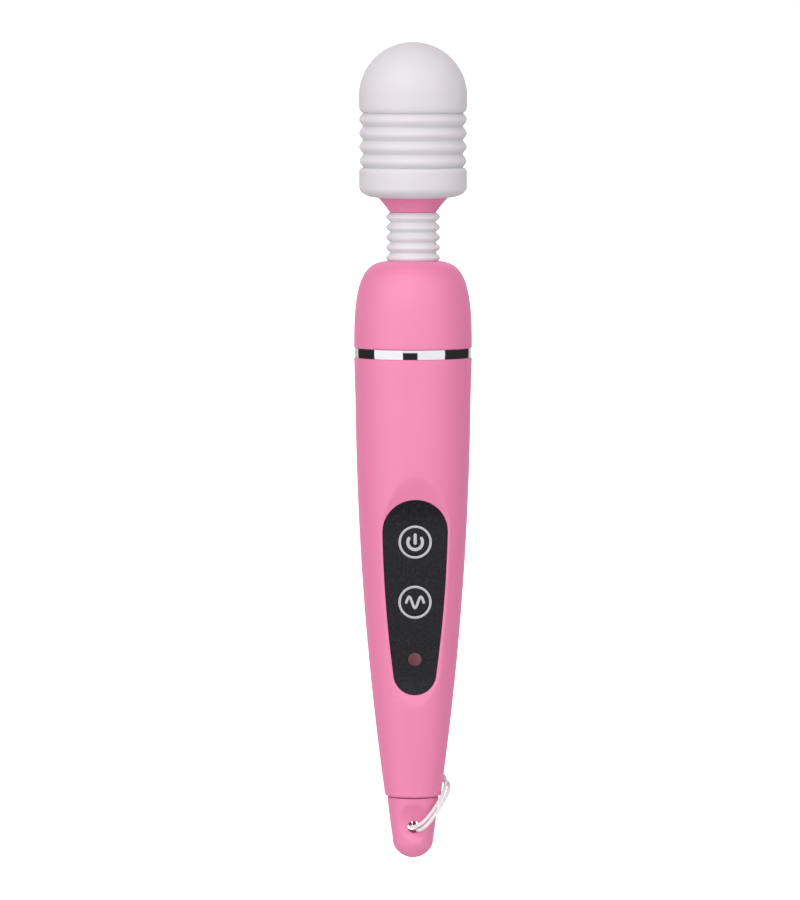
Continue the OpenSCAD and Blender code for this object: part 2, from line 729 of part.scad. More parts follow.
module battery_cell() color("steelblue") {
  rotate_extrude($fn = 96)
    polygon([
      [0, cell_bottom_z], [cell_r - 0.6, cell_bottom_z], [cell_r, cell_bottom_z + 0.6],
      [cell_r, cell_top_z - 2.2], [cell_r - 0.6, cell_top_z - 1.6], [0, cell_top_z - 1.6]
    ]);
}

module battery_contacts() color("silver") {
  disc(3.2, cell_top_z - 1.6, cell_top_z - 0.3, 48);
  for (z = [cell_top_z, cell_bottom_z])
    translate([-2, strap_y, z - 0.3]) cube([4, 2 - strap_y, 0.3]);
}

module cell_pads() color("#404040") {
  tube(7.6, 3.6, cell_top_z - 1.6, cell_top_z - 0.4);
  translate([-5, 2.6, cell_bottom_z - pad]) cube([10, 4, pad]);
}

// ---------- leads ----------

// Each lead is a curve through a few points; its ends stop just short of what they are soldered to
function plug_top(x, above = 0) = face_point(x, connector_u + connector_depth / 2 + solder + above,
  board_depth - connector_height / 2);
function plug_foot(x, below = 0) = face_point(x, tail_connector_u - connector_depth / 2 - solder - below,
  board_depth + board_thickness + connector_height / 2);

module lead(points) swept(smooth(points, 4), lead_r, 8);

module battery_leads() color("crimson") {
  lead([
    [-1.3, strap_y - lead_r - solder, cell_top_z - 0.15], [-1.7, lead_y + 0.4, cell_top_z - 0.5],
    [-2.3, lead_y - 0.1, cell_top_z - 2], [-3, lead_y, cell_top_z - 7],
    [-3.2, lead_y, (cell_top_z + cell_bottom_z) / 2], [-3.6, lead_y, cell_bottom_z + 5],
    [-4.1, lead_y + 0.1, cell_bottom_z + 0.6], [-4.3, lead_y + 1.7, cell_bottom_z - 1.4],
    plug_top(-4.4, straight), plug_top(-4.4)
  ]);
  lead([
    [-1.3, strap_y - lead_r - solder, cell_bottom_z - 0.2], [-1.9, lead_y + 1.2, cell_bottom_z - 0.7],
    [-2.5, lead_y + 1.9, cell_bottom_z - 1.5], plug_top(-2.8, straight), plug_top(-2.8)
  ]);
}

// From the neck seat's hole, over the upper bulkhead and down the front of the cell to the board
module motor_harness() color("crimson")
  for (side = [-1, 1]) {
    x = 1.5 + 0.75 * side;
    lead([
      [side * lead_x, 0, seat_bottom_z + 0.2], [side * lead_x, -0.9, seat_bottom_z - 0.9],
      [x, -3.8, seat_bottom_z - 1.3], [x, -7, seat_bottom_z - 1.3],
      [x, lead_y + 1.2, seat_bottom_z - 1.6], [x, lead_y, seat_bottom_z - 3.6],
      [x, lead_y, cell_top_z - 8], [x, lead_y, (cell_top_z + cell_bottom_z) / 2],
      [x + 0.4, lead_y, cell_bottom_z + 5], [x + 1.4, lead_y + 0.1, cell_bottom_z + 0.6],
      [x + 1.9, lead_y + 1.7, cell_bottom_z - 1.4], plug_top(x + 2.1, straight), plug_top(x + 2.1)
    ]);
  }

module charge_leads() color("black")
  for (side = [-1, 1]) {
    foot = plug_foot(side * 1.2);
    contact_z = jack_end_z + jack_length + contact_height + solder;
    lead([
      [side * 1.4, 0, contact_z], [side * 1.4, 0.1, contact_z + 3.5],
      [side * 1.8, 0.5, (contact_z + foot[2]) / 2], [side * 1.4, foot[1], foot[2] - 3.5],
      plug_foot(side * 1.2, straight), foot
    ]);
  }

// ---------- tail ----------

module tail_spigot() color(pink)
  difference() {
    union() {
      disc(tail_spigot_r, tail_end_z, seam_z + 2);
      disc(grip_taper(seam_z + 2) - wall - 0.5, seam_z + 1.8, seam_z + 3.8);
      disc(jack_r + 1.2, seam_z + 3.8, jack_end_z + jack_length - 1);
    }
    disc(jack_r + fit, tail_end_z - 1, jack_end_z + jack_length + 1);
    tube(tail_spigot_r + 1, cap_cavity_r - 0.08 - 2 * tail_seal_r - seal_slack, tail_seal_z - 0.65, tail_seal_z + 0.65);
  }

module tail_seal() color("dimgray")
  rotate_extrude($fn = 96) translate([cap_cavity_r - 0.08 - tail_seal_r, tail_seal_z]) circle(tail_seal_r, $fn = 24);

module charge_socket() color("black")
  difference() {
    disc(jack_r, jack_end_z, jack_end_z + jack_length, 64);
    disc(socket_r, jack_end_z - 1, jack_end_z + socket_depth, 64);
  }

module socket_contacts() color("gold")
  for (side = [-1, 1])
    translate([side * 1.4 - 0.6, -0.15, jack_end_z + jack_length]) cube([1.2, 0.3, contact_height]);

function cap_outline() =
  let (side_z = cap_height - cap_edge, end_r = cap_r - 0.13 * (side_z - cap_end_height))
  concat(
    [for (i = [0 : 12]) let (a = 90 * i / 12)
      [(end_r - 0.13 * cap_end_height * (1 - sin(a))) * cos(90 - a), cap_end_height * (1 - cos(a))]],
    [for (i = [1 : 4]) let (z = cap_end_height + (side_z - cap_end_height) * i / 4)
      [end_r + (cap_r - end_r) * i / 4 + 0.06 * sin(180 * i / 4), z]],
    [[cap_r - cap_edge, cap_height]]
  );

module end_cap() color(pink)
  difference() {
    rotate_extrude($fn = 128) polygon(concat(cap_outline(), [[0, cap_height]]));
    disc(cap_cavity_r, cap_floor_z, cap_height + 1);
    hollow_r = (pow(hollow_half, 2) + pow(hollow_depth, 2)) / (2 * hollow_depth);
    surface_r = cap_r - 0.13 * (cap_height - loop_hole_z) + 0.02;
    for (side = [-1, 1])
      translate([0, side * (surface_r - hollow_depth + hollow_r), loop_hole_z])
        rotate([0, 90, 0]) cylinder(r = hollow_r, h = 30, center = true, $fn = 160);
    translate([0, 0, loop_hole_z]) rotate([90, 0, 0])
      cylinder(r = loop_hole_r, h = 30, center = true, $fn = 64);
  }

module hanging_loop() color("white") swept(smooth(cord_route, 2), cord_r, 8);

// ---------- neck ----------

// The ribs' outline: rounded lobes, one per pitch, between a groove radius and a crest radius
function ribs(count, pitch, low, groove_r, crest, thin, steps = 10) =
  [for (i = [0 : count * steps]) let (s = i / steps)
    [groove_r + crest * pow((1 - cos(360 * s)) / 2, 0.55) - thin, low + pitch * s]];

module neck_bellows() color(white)
  rotate_extrude($fn = 96)
    polygon(concat(
      [for (p = ribs(neck_ribs, neck_pitch, neck_start, neck_valley_r, neck_groove, 0))
        if (p[1] > neck_z + 0.02 && p[1] < cone_z - 0.02) p],
      [[upper_foot_r, cone_z], [upper_foot_r, upper_flange_z], [upper_flange_r, upper_flange_z],
        [upper_flange_r, upper_seat_z], [spring_r + 0.15, upper_seat_z], [spring_r + 0.15, cone_z - 0.6]],
      [for (i = [neck_ribs * 10 - 8 : -1 : 8])
        let (p = ribs(neck_ribs, neck_pitch, neck_start, neck_valley_r, neck_groove, neck_wall)[i]) p],
      [[neck_valley_r - neck_foot_wall, neck_z], [neck_valley_r - neck_foot_wall, seat_bottom_z + seat_plate],
        [seat_flange_r, seat_bottom_z + seat_plate], [seat_flange_r, neck_shelf_z],
        [neck_valley_r, neck_shelf_z], [neck_valley_r, neck_z]]
    ));

module neck_seat() color("dimgray")
  difference() {
    rotate_extrude($fn = 96)
      polygon([
        [lead_hole_r, seat_bottom_z], [seat_r, seat_bottom_z], [seat_r, seat_bottom_z + seat_plate],
        [neck_valley_r - neck_foot_wall - fit, seat_bottom_z + seat_plate],
        [neck_valley_r - neck_foot_wall - fit, neck_z - 0.4], [spring_r + 0.1, neck_z - 0.4],
        [spring_r + 0.1, seat_bottom_z + 1], [lead_hole_r, seat_bottom_z + 1]
      ]);
    ring_of(3, seat_screw_circle, 90) disc(seat_screw_r + 0.1, seat_bottom_z - 1, seat_bottom_z + 3, 24);
    ring_of(2, cradle_screw_circle) disc(boss_r + 0.2, seat_bottom_z - 1, seat_bottom_z + 3, 48);
  }

module seat_screws() color("silver")
  ring_of(3, seat_screw_circle, 90) translate([0, 0, seat_bottom_z]) rotate([180, 0, 0])
    screw(seat_screw_r, seat_plate + 1.5, 1.3, 0.7);

module upper_seat() color("dimgray")
  rotate_extrude($fn = 96)
    polygon([
      [lead_hole_r, upper_seat_z], [spring_r + 0.1, upper_seat_z], [upper_flange_r, upper_seat_z],
      [upper_flange_r, endbell_z], [lead_hole_r, endbell_z]
    ]);

// A close-wound coil, its section swept along a helix
module neck_spring() color("silver") {
  steps = spring_turns * 16;
  r = spring_r - spring_wire_r;
  swept([for (i = [0 : steps]) [
    r * cos(360 * i / 16), r * sin(360 * i / 16), spring_low + (spring_high - spring_low) * i / steps]],
    spring_wire_r, 6);
}

module neck_leads() color("crimson")
  for (side = [-1, 1])
    lead([
      [side * lead_x, 0, seat_bottom_z + 0.5],
      [side * lead_x, 0.3, neck_z],
      [side * (lead_x + 0.2), 0, pivot_z],
      [side * lead_x, -0.3, cone_z],
      [side * terminal_x, 0, endbell_z - solder]
    ]);

// ---------- head ----------

module head_cone() color(pink)
  difference() {
    rotate_extrude($fn = 128)
      polygon([
        [0, cone_z], [cone_low_r - 0.2, cone_z], [cone_low_r, cone_z + 0.2],
        [cone_r, head_z], [cone_r, plate_z], [core_r - fit, plate_z], [core_r - fit, core_z], [0, core_z]
      ]);
    disc(upper_foot_r + fit, cone_z - 1, upper_flange_z + 1);
    disc(upper_flange_r + fit, upper_flange_z, endbell_z);
    disc(plate_bore_r + fit, endbell_z - 0.01, core_z + 1);
    ring_of(3, head_screw_circle, 30) disc(head_screw_r + 0.1, plate_z - 1, core_z + 1, 24);
    ring_of(3, head_screw_circle, 30) disc(1.7, plate_z - 1, plate_z + 0.9, 32);
  }

module head_screws() color("silver")
  ring_of(3, head_screw_circle, 30) translate([0, 0, plate_z + 0.9]) rotate([180, 0, 0])
    screw(head_screw_r, 3.4, 1.6, 0.85);

module head_core() color("white")
  difference() {
    union() {
      disc(core_r, core_z, dome_z, 128);
      translate([0, 0, dome_z]) sphere(r = core_r, $fn = 128);
    }
    difference() {
      union() {
        disc(core_r - core_wall, core_z - core_r, dome_z, 128);
        translate([0, 0, dome_z]) sphere(r = core_r - core_wall, $fn = 128);
      }
      disc(core_r, core_z - 1, core_z + rim_height);
    }
    disc(rim_r, core_z - 1, core_z + rim_height + 1);
    translate([0, 0, core_z - 2 * core_r]) cylinder(r = 2 * core_r, h = 2 * core_r, $fn = 64);
    ring_of(3, head_screw_circle, 30) disc(head_screw_r, core_z - 1, core_z + rim_height - 0.4, 24);
  }

module head_cap() color(white)
  difference() {
    rotate_extrude($fn = 160)
      polygon(concat(
        [[0, head_z + 0.3], [cone_r + fit, head_z + 0.1]],
        [for (i = [0 : 8]) let (a = -90 + 90 * i / 8)
          [cone_r + 0.1 + (head_r - cone_r - 0.1) * cos(a), foot_centre_z + (foot_centre_z - head_z) * sin(a)]],
        [for (i = [0 : 3]) let (a = 30 * i)
          [head_r - head_groove * (1 - cos(a)), band_top_z + (rib_low_z - band_top_z) * sin(a)]],
        [for (p = ribs(head_ribs, head_rib_pitch, rib_low_z, groove_bottom_r, head_groove - 0.1, 0))
          if (p[1] > rib_low_z + 0.1) p],
        [for (i = [1 : 5]) let (a = 18 * i)
          [groove_bottom_r + head_groove * sin(a), first_groove_z + 2.2 * (1 - cos(a))]],
        [for (i = [0 : 28]) let (a = 90 * i / 28) [head_r * cos(a), dome_z + head_r * sin(a)]]
      ));
    disc(cone_r + fit, head_z - 1, plate_z);
    disc(core_r, plate_z, dome_z, 128);
    translate([0, 0, dome_z]) sphere(r = core_r, $fn = 128);
  }

// ---------- motor ----------

module motor_endbell() color("white")
  difference() {
    union() {
      disc(plate_bore_r - 0.1, endbell_z, core_z);
      disc(motor_r, core_z, can_z);
    }
    disc(lead_hole_r - 0.4, endbell_z - 1, endbell_z + terminal_height, 48);
    disc(bush_r, can_z - bush_height, can_z + 1, 48);
  }

module motor_can() color("lightgray")
  difference() {
    union() {
      disc(motor_r, can_z, can_top_z);
      disc(bush_r + 1, can_top_z, can_top_z + 1.2, 64);
    }
    disc(motor_r - can_wall, can_z - 1, can_top_z - 1);
    disc(bush_r, can_top_z + 1.2 - bush_height, can_top_z + 2, 48);
  }

module motor_bushes() color("goldenrod") {
  tube(bush_r, shaft_r + run, can_top_z + 1.2 - bush_height, can_top_z + 1.2);
  tube(bush_r, shaft_r + run, can_z - bush_height, can_z);
}

module motor_magnets() color("#3a3a3a")
  for (a = [0, 180]) rotate([0, 0, a]) intersection() {
    tube(motor_r - can_wall, motor_r - can_wall - magnet_thickness, can_z + 2, can_top_z - 3);
    rotate([0, 0, -60]) translate([0, 0, can_z]) rotate_extrude(angle = 120, $fn = 96)
      square([motor_r, can_length]);
  }

module motor_sleeve() color("#505050")
  difference() {
    union() {
      tube(core_r - core_wall - fit, motor_r + fit, core_z + rim_height, core_z + rim_height + 3);
      tube(core_r - core_wall - fit, motor_r + fit, can_top_z - 5, can_top_z - 1);
      tube(motor_r + 1, motor_r + fit, core_z + rim_height, can_top_z - 1);
    }
  }

module motor_terminals() color("gold")
  for (side = [-1, 1])
    translate([side * terminal_x - 0.5, -0.2, endbell_z]) cube([1, 0.4, terminal_height]);

module motor_shaft() color("silver")
  disc(shaft_r, can_z - bush_height + 0.2, weight_z + weight_height + 0.6, 48);

module motor_armature() color("sienna")
  difference() {
    union() {
      disc(armature_r, can_z + 6, can_top_z - 4.5);
      disc(2.4, can_z + 1.2, can_top_z - 2.4, 48);
    }
    disc(shaft_r, can_z, can_top_z, 48);
    ring_of(3, armature_r) disc(1.3, can_z + 3, can_top_z - 3, 32);
  }

module eccentric_weight() color("darkgoldenrod")
  difference() {
    union() {
      intersection() {
        disc(weight_r, weight_z, weight_z + weight_height);
        translate([-weight_r, 0, weight_z - 1]) cube([2 * weight_r, weight_r + 1, weight_height + 2]);
      }
      disc(2.6, weight_z, weight_z + weight_height, 48);
    }
    disc(shaft_r, weight_z - 1, weight_z + weight_height + 1, 48);
  }

// ---------- the nodes ----------

grip_shell();
shoulder_shell();
trim_ring();
shoulder_seal();
control_panel();
power_bezel();
mode_bezel();
indicator_lens();
indicator_lamp();
circuit_board();
board_parts();
lead_connectors();
push_switches();
board_screws();
cell_cradle();
cradle_screws();
battery_cell();
battery_contacts();
cell_pads();
battery_leads();
motor_harness();
charge_leads();
tail_spigot();
tail_seal();
charge_socket();
socket_contacts();
neck_seat();
seat_screws();
neck_bellows();
neck_spring();
neck_leads();
head_cone();
head_core();
head_cap();
head_screws();
upper_seat();
motor_can();
motor_endbell();
motor_magnets();
motor_bushes();
motor_sleeve();
motor_terminals();
motor_shaft();
motor_armature();
eccentric_weight();
power_button();
power_symbol();
power_plunger();
mode_button();
mode_symbol();
mode_plunger();
end_cap();
hanging_loop();
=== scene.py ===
# A handheld wand massager: soft-touch pink grip and shoulder, chrome trim ring, sunken black
# control panel, ribbed silicone neck and head, pull-off end cap with a doubled hanging loop.
# Shape functions work in millimetres on whole arrays; to_mesh() turns them into metres.

import json
import math

import bmesh
import bpy
import numpy as np
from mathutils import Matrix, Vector

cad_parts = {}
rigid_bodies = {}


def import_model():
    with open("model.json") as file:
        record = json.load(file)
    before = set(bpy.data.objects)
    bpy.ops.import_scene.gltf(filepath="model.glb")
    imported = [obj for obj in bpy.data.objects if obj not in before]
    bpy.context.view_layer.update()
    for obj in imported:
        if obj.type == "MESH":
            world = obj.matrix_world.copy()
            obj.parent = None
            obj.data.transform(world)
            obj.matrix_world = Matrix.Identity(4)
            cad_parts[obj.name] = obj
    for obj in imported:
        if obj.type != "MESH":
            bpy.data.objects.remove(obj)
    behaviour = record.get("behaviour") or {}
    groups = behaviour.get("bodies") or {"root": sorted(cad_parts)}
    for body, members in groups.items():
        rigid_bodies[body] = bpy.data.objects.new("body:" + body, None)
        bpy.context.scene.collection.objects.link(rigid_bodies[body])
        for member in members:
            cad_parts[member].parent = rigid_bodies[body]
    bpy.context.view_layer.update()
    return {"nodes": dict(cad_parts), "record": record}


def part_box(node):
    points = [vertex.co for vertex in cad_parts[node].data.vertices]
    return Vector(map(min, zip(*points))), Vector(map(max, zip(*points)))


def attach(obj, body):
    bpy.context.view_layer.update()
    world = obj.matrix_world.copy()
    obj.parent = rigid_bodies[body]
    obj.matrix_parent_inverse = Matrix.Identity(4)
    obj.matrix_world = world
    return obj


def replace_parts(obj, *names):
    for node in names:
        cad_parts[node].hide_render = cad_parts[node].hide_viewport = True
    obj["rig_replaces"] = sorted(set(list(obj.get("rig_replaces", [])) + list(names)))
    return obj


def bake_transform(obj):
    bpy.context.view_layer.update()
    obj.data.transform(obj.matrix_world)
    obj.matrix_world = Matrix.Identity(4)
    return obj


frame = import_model()
nodes = frame["nodes"]
record = frame["record"]
body_of_node = {n: body for body, members in record["behaviour"]["bodies"].items() for n in members}
slot_of_node = {s["node"]: s["material_slot"] for s in record["subparts"]}

MM = 0.001
LOOP_THICKNESS = 1.1
CORD_UV = "along_cord"

# ---------- the wand's measures, in millimetres ----------


def measured(node):
    """Lowest and highest corner of a CAD node, in millimetres."""
    low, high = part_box(node)
    return np.array(low) / MM, np.array(high) / MM


grip_low, grip_high = measured("grip_shell")
shoulder_low, shoulder_high = measured("shoulder_shell")
ring_low, ring_high = measured("trim_ring")
cap_low, cap_high = measured("end_cap")
cone_low, cone_high = measured("head_cone")
head_high = measured("head_cap")[1]
bellows_high = measured("neck_bellows")[1]

SEAM_Z = grip_low[2]
MOUTH_Z = grip_high[2]
SHOULDER_Z = ring_high[2]
NECK_Z = shoulder_high[2]
CONE_Z = cone_low[2]
TOP_Z = head_high[2]
WALL = 2.0
GRIP_LENGTH = MOUTH_Z - SEAM_Z
FLARE = 0.3
FLARE_HEIGHT = 12.0
GRIP_R = grip_high[0] - FLARE
TAIL_R = 8.4
TAPER_POWER = 2.06
SHOULDER_R = GRIP_R + FLARE
GRIP_EDGE = 0.9
RIM_EDGE = 0.25
GRIP_FOOT = 1.8
TAIL_BORE_R = 4.65
SPIGOT_R = GRIP_R - WALL - 0.1
SPIGOT_WALL = 1.5
NECK_CROWN = 26.1
NECK_BEND_Z = record["behaviour"]["joints"][0]["pos_m"][2] / MM
LIP_Z = NECK_Z - 2.6
SEAT_Z = NECK_Z - 3.4
HEAD_FOOT = CONE_Z + 4.2
PLATE_Z = HEAD_FOOT + 2.2
STEP_Z = CONE_Z + 3.3


def grip_taper(z):
    """The grip's radius at height z: a power curve from the mouth down to the tail, with a slight flare."""
    down = np.maximum(0, MOUTH_Z - z)
    flare = FLARE * np.maximum(0, 1 - down / FLARE_HEIGHT)
    return GRIP_R - (GRIP_R - TAIL_R) * (down / GRIP_LENGTH) ** TAPER_POWER + flare


# The sunken face leans back a little, and ramps out to the grip's surface at both ends
FACE_LEAN = math.radians(2.46)
FACE_SINK = 3.35
POCKET_DEPTH = 1.5
button_low, button_high = measured("mode_bezel")
PANEL_Z = (button_low[2] + button_high[2] - POCKET_DEPTH * math.sin(FACE_LEAN)) / 2
FACE_DISTANCE = float(grip_taper(PANEL_Z)) - FACE_SINK
RAMP_TOP = PANEL_Z + 24.3
RAMP_TOP_SLOPE = 0.28
RAMP_BOTTOM = PANEL_Z - 23.0
RAMP_BOTTOM_SLOPE = 0.213
FACE_WALL = 2.8
SCOOP_CREASE = 0.2
POCKET_GAP = 0.1
LEDGE = 1.4
PANEL_UP = 30.9
PANEL_DOWN = 27.8
PANEL_TOP_R = 9.7
PANEL_BOTTOM_R = 6.4
PANEL_BULGE = 0.6
BUTTON_PITCH = 18.1
BEZEL_R = 5.0
BEZEL_WIDTH = 0.75
KEY_R = 4.1
KEY_FLANGE_R = 4.65
KEY_STEM_R = 1.5
LAMP_DROP = 17.3
LAMP_R = 2.0


def soft_ramp(distance, width):
    """Zero below the start and rising one for one above it, rounded over width."""
    return (np.sqrt(distance * distance + width * width) + distance) / 2


def face_distance(z):
    """How far the sunken face lies from the long axis at height z."""
    lean = math.tan(FACE_LEAN) * (z - PANEL_Z)
    above = RAMP_TOP_SLOPE * soft_ramp(z - RAMP_TOP, 1.2)
    below = RAMP_BOTTOM_SLOPE * soft_ramp(RAMP_BOTTOM - z, 1.0)
    return FACE_DISTANCE + lean + above + below


def softer_of(a, b, width):
    """The smaller of two radii, with the crease between them rounded over width."""
    return (a + b - np.sqrt((a - b) ** 2 + width * width)) / 2


# ---------- mesh tools ----------


def to_mesh(name, points, faces, crease=40.0, uv=None):
    """A finished object from points in millimetres: no doubles, faces outwards, smooth but for creases."""
    mesh = bpy.data.meshes.new(name)
    mesh.from_pydata((np.asarray(points) * MM).tolist(), [], np.asarray(faces).tolist())
    if uv is not None:
        mesh.uv_layers.new(name=CORD_UV).data.foreach_set("uv", uv.astype(np.float32).ravel())
    work = bmesh.new()
    work.from_mesh(mesh)
    bmesh.ops.remove_doubles(work, verts=work.verts, dist=2e-6)
    bmesh.ops.dissolve_degenerate(work, edges=work.edges, dist=1e-7)
    bmesh.ops.recalc_face_normals(work, faces=work.faces)
    work.to_mesh(mesh)
    work.free()
    smooth_but_creased(mesh, crease)
    piece = bpy.data.objects.new(name, mesh)
    bpy.context.scene.collection.objects.link(piece)
    return piece


def smooth_but_creased(mesh, crease):
    """Smooth shading everywhere but across edges sharper than crease degrees."""
    mesh.polygons.foreach_set("use_smooth", np.ones(len(mesh.polygons), bool))
    mesh.set_sharp_from_angle(angle=math.radians(crease))
    mesh.update()


def grid_faces(rows, columns, closed_rows=False, closed_columns=False, first=0):
    """Quads between neighbouring rows and columns of a grid of points."""
    r = np.arange(rows if closed_rows else rows - 1)
    c = np.arange(columns if closed_columns else columns - 1)
    r, c = np.meshgrid(r, c, indexing="ij")
    below, beside = (r + 1) % rows, (c + 1) % columns
    quads = [r * columns + c, r * columns + beside, below * columns + beside, below * columns + c]
    return first + np.stack(quads, axis=-1).reshape(-1, 4)


def joined(*grids):
    """Stacks several (points, faces) pairs into one."""
    starts = np.cumsum([0] + [len(p) for p, _ in grids[:-1]])
    points = np.concatenate([p for p, _ in grids])
    faces = np.concatenate([f + start for (_, f), start in zip(grids, starts)])
    return points, faces


def eased_corners(profile, size, steps=4):
    """Rounds a closed outline: a curve replaces each corner, between points a little way along its edges."""
    p = np.asarray(profile, float)
    size = np.broadcast_to(np.asarray(size, float), (len(p),))
    to_last, to_next = np.roll(p, 1, axis=0) - p, np.roll(p, -1, axis=0) - p
    last_length = np.linalg.norm(to_last, axis=1)
    next_length = np.linalg.norm(to_next, axis=1)
    a = p + to_last * (np.minimum(size, 0.45 * last_length) / last_length)[:, None]
    b = p + to_next * (np.minimum(size, 0.45 * next_length) / next_length)[:, None]
    t = np.linspace(0, 1, steps + 1)[None, :, None]
    curve = (1 - t) ** 2 * a[:, None] + 2 * t * (1 - t) * p[:, None] + t * t * b[:, None]
    return curve.reshape(-1, 2)


def turned(profile, sides=160):
    """A closed outline of (radius, height) points carried round the long axis."""
    angle = 2 * math.pi * np.arange(sides) / sides
    r, z = np.asarray(profile, float).T
    x = r[:, None] * np.cos(angle)
    y = r[:, None] * np.sin(angle)
    points = np.stack([x, y, np.broadcast_to(z[:, None], x.shape)], axis=-1).reshape(-1, 3)
    return points, grid_faces(len(r), sides, closed_rows=True, closed_columns=True)


def closed_rows(rows):
    """Points and faces of a stack of closed rows of points."""
    rows = np.asarray(rows)
    return rows.reshape(-1, 3), grid_faces(rows.shape[0], rows.shape[1], closed_columns=True)


def stood_on_face(points, up):
    """Moves a shape from the face's own frame, Z its height above the face, to its place on the grip."""
    x, y, h = np.asarray(points).T
    y = y + up
    sine, cosine = math.sin(FACE_LEAN), math.cos(FACE_LEAN)
    return np.stack([x, -FACE_DISTANCE - y * sine - h * cosine, PANEL_Z + y * cosine - h * sine], axis=-1)


def carried_frames(path):
    """Tangent and two normals at each point of a path; the normals turn as little as they can."""
    tangent = np.gradient(path, axis=0)
    tangent /= np.linalg.norm(tangent, axis=1)[:, None]
    normal = np.cross(tangent[0], [0.31, 0.17, 0.93])
    normals = []
    for t in tangent:
        normal = normal - t * (normal @ t)
        normal = normal / np.linalg.norm(normal)
        normals.append(normal)
    normals = np.array(normals)
    return tangent, normals, np.cross(tangent, normals)


def smooth_route(points, steps):
    """A curve through the points (Catmull-Rom), with some steps between each pair."""
    p = np.asarray(points, float)
    a, b, c, d = np.vstack([p[:1], p[:-2]]), p[:-1], p[1:], np.vstack([p[2:], p[-1:]])
    t = (np.arange(steps) / steps)[None, :, None]
    a, b, c, d = (q[:, None] for q in (a, b, c, d))
    bend = (2 * a - 5 * b + 4 * c - d) * t**2
    swing = (3 * b - a - 3 * c + d) * t**3
    curve = 0.5 * (2 * b + (c - a) * t + bend + swing)
    return np.vstack([curve.reshape(-1, 3), p[-1:]])


def tube(path, radius, sides=12):
    """A round section swept along a path, closed by its two ends. radius may be an array (path, sides)."""
    _, normal, binormal = carried_frames(path)
    angle = 2 * math.pi * np.arange(sides) / sides
    out = normal[:, None] * np.cos(angle)[:, None] + binormal[:, None] * np.sin(angle)[:, None]
    rings = path[:, None] + out * np.broadcast_to(radius, (len(path), sides))[..., None]
    ends = np.repeat(path[[0, -1]][:, None], sides, axis=1)
    return closed_rows(np.concatenate([ends[:1], rings, ends[1:]]))


def settle(piece, *stands_for, body=None):
    """Rides a finished piece on its body, takes its slot and hides the CAD nodes that it stands for."""
    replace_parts(piece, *stands_for)
    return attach(piece, body or body_of_node[stands_for[0]])


# ---------- camera ----------

VIEW_DISTANCE = 2.7
VIEW_TURN = math.radians(-3.0)
VIEW_PITCH = math.radians(3.5)
VIEW_HEIGHT = 0.27
AIM = Vector((-0.0039, 0.0, 0.1228))

camera_data = bpy.data.cameras.new("Camera")
camera_data.sensor_width = 24.0
camera_data.lens = 24.0 * VIEW_DISTANCE / VIEW_HEIGHT
camera_data.clip_end = 200.0
camera = bpy.data.objects.new("Camera", camera_data)
bpy.context.scene.collection.objects.link(camera)
towards_camera = Vector(
    (
        math.sin(VIEW_TURN) * math.cos(VIEW_PITCH),
        -math.cos(VIEW_TURN) * math.cos(VIEW_PITCH),
        math.sin(VIEW_PITCH),
    )
)
camera.location = AIM + towards_camera * VIEW_DISTANCE
camera.rotation_euler = (-towards_camera).to_track_quat("-Z", "Y").to_euler()
bpy.context.scene.camera = camera

# ---------- hanging loop ----------

LOOP_ROUTE = [
    (-0.7, 0.4, 9.8), (-0.7, -2.6, 9.8), (-0.6, -5.2, 9.8), (-0.2, -6.9, 9.9), (1.0, -8.1, 10.4),
    (2.9, -8.4, 11.7), (4.9, -7.8, 13.9), (6.8, -6.4, 16.4), (8.4, -4.4, 18.8), (9.5, -1.7, 21.2),
    (9.9, 1.2, 23.2), (9.4, 4.2, 24.3), (8.0, 6.8, 24.1), (6.0, 8.6, 22.4), (4.0, 9.4, 19.8),
    (2.4, 9.5, 16.9), (1.3, 9.1, 14.1), (0.8, 8.1, 11.7), (0.7, 6.4, 10.1), (0.6, 4.0, 9.8),
    (0.6, 0.6, 9.8), (0.6, -2.8, 9.8), (0.7, -5.2, 9.4), (1.3, -7.1, 9.0), (2.7, -8.5, 9.75),
    (4.45, -8.8, 11.44), (6.22, -8.0, 13.65), (7.93, -6.5, 16.04), (9.43, -4.3, 18.23), (10.58, -1.5, 20.1),
    (10.98, 1.6, 21.52), (10.6, 4.7, 22.3), (9.1, 7.5, 22.3), (6.9, 9.5, 20.9), (4.7, 10.5, 18.5),
    (2.8, 10.8, 15.7), (1.0, 10.4, 13.1), (-0.3, 9.0, 11.1), (-0.7, 6.8, 10.0), (-0.7, 4.9, 9.8),
    (-0.7, 2.9, 9.8), (-0.7, 0.8, 9.8),
]
STRAND_PITCH = 2.6


def hanging_loop():
    """A doubled cord: a tube whose radius rises and falls a little round it, turning as it goes along."""
    path = smooth_route(LOOP_ROUTE, 12)
    along = np.concatenate([[0], np.cumsum(np.linalg.norm(np.diff(path, axis=0), axis=1))])
    sides = 24
    angle = 2 * math.pi * np.arange(sides) / sides
    turn = 2 * math.pi * along[:, None] / STRAND_PITCH
    left, right = np.cos(4 * angle + turn), np.cos(4 * angle - turn)
    radius = LOOP_THICKNESS / 2 * (1 - 0.035 + 0.05 * np.maximum(left, right))
    points, faces = tube(path, radius, sides)
    corner = faces.reshape(-1)
    row_length = np.concatenate([[0], along, along[-1:]])
    side = (corner % sides).reshape(-1, 4).astype(float)
    side = np.where((side == 0) & (side.max(axis=1, keepdims=True) == sides - 1), sides, side)
    uv = np.stack([side.reshape(-1) / sides, row_length[corner // sides]], axis=-1)
    piece = settle(to_mesh("hanging_loop_braid", points, faces, crease=60.0, uv=uv), "hanging_loop")


hanging_loop()

# ---------- grip ----------


def growing_shares(count, growth):
    """Shares from 0 to 1 whose steps grow by the same factor."""
    step = growth ** np.arange(count)
    return np.concatenate([[0], np.cumsum(step) / step.sum()])


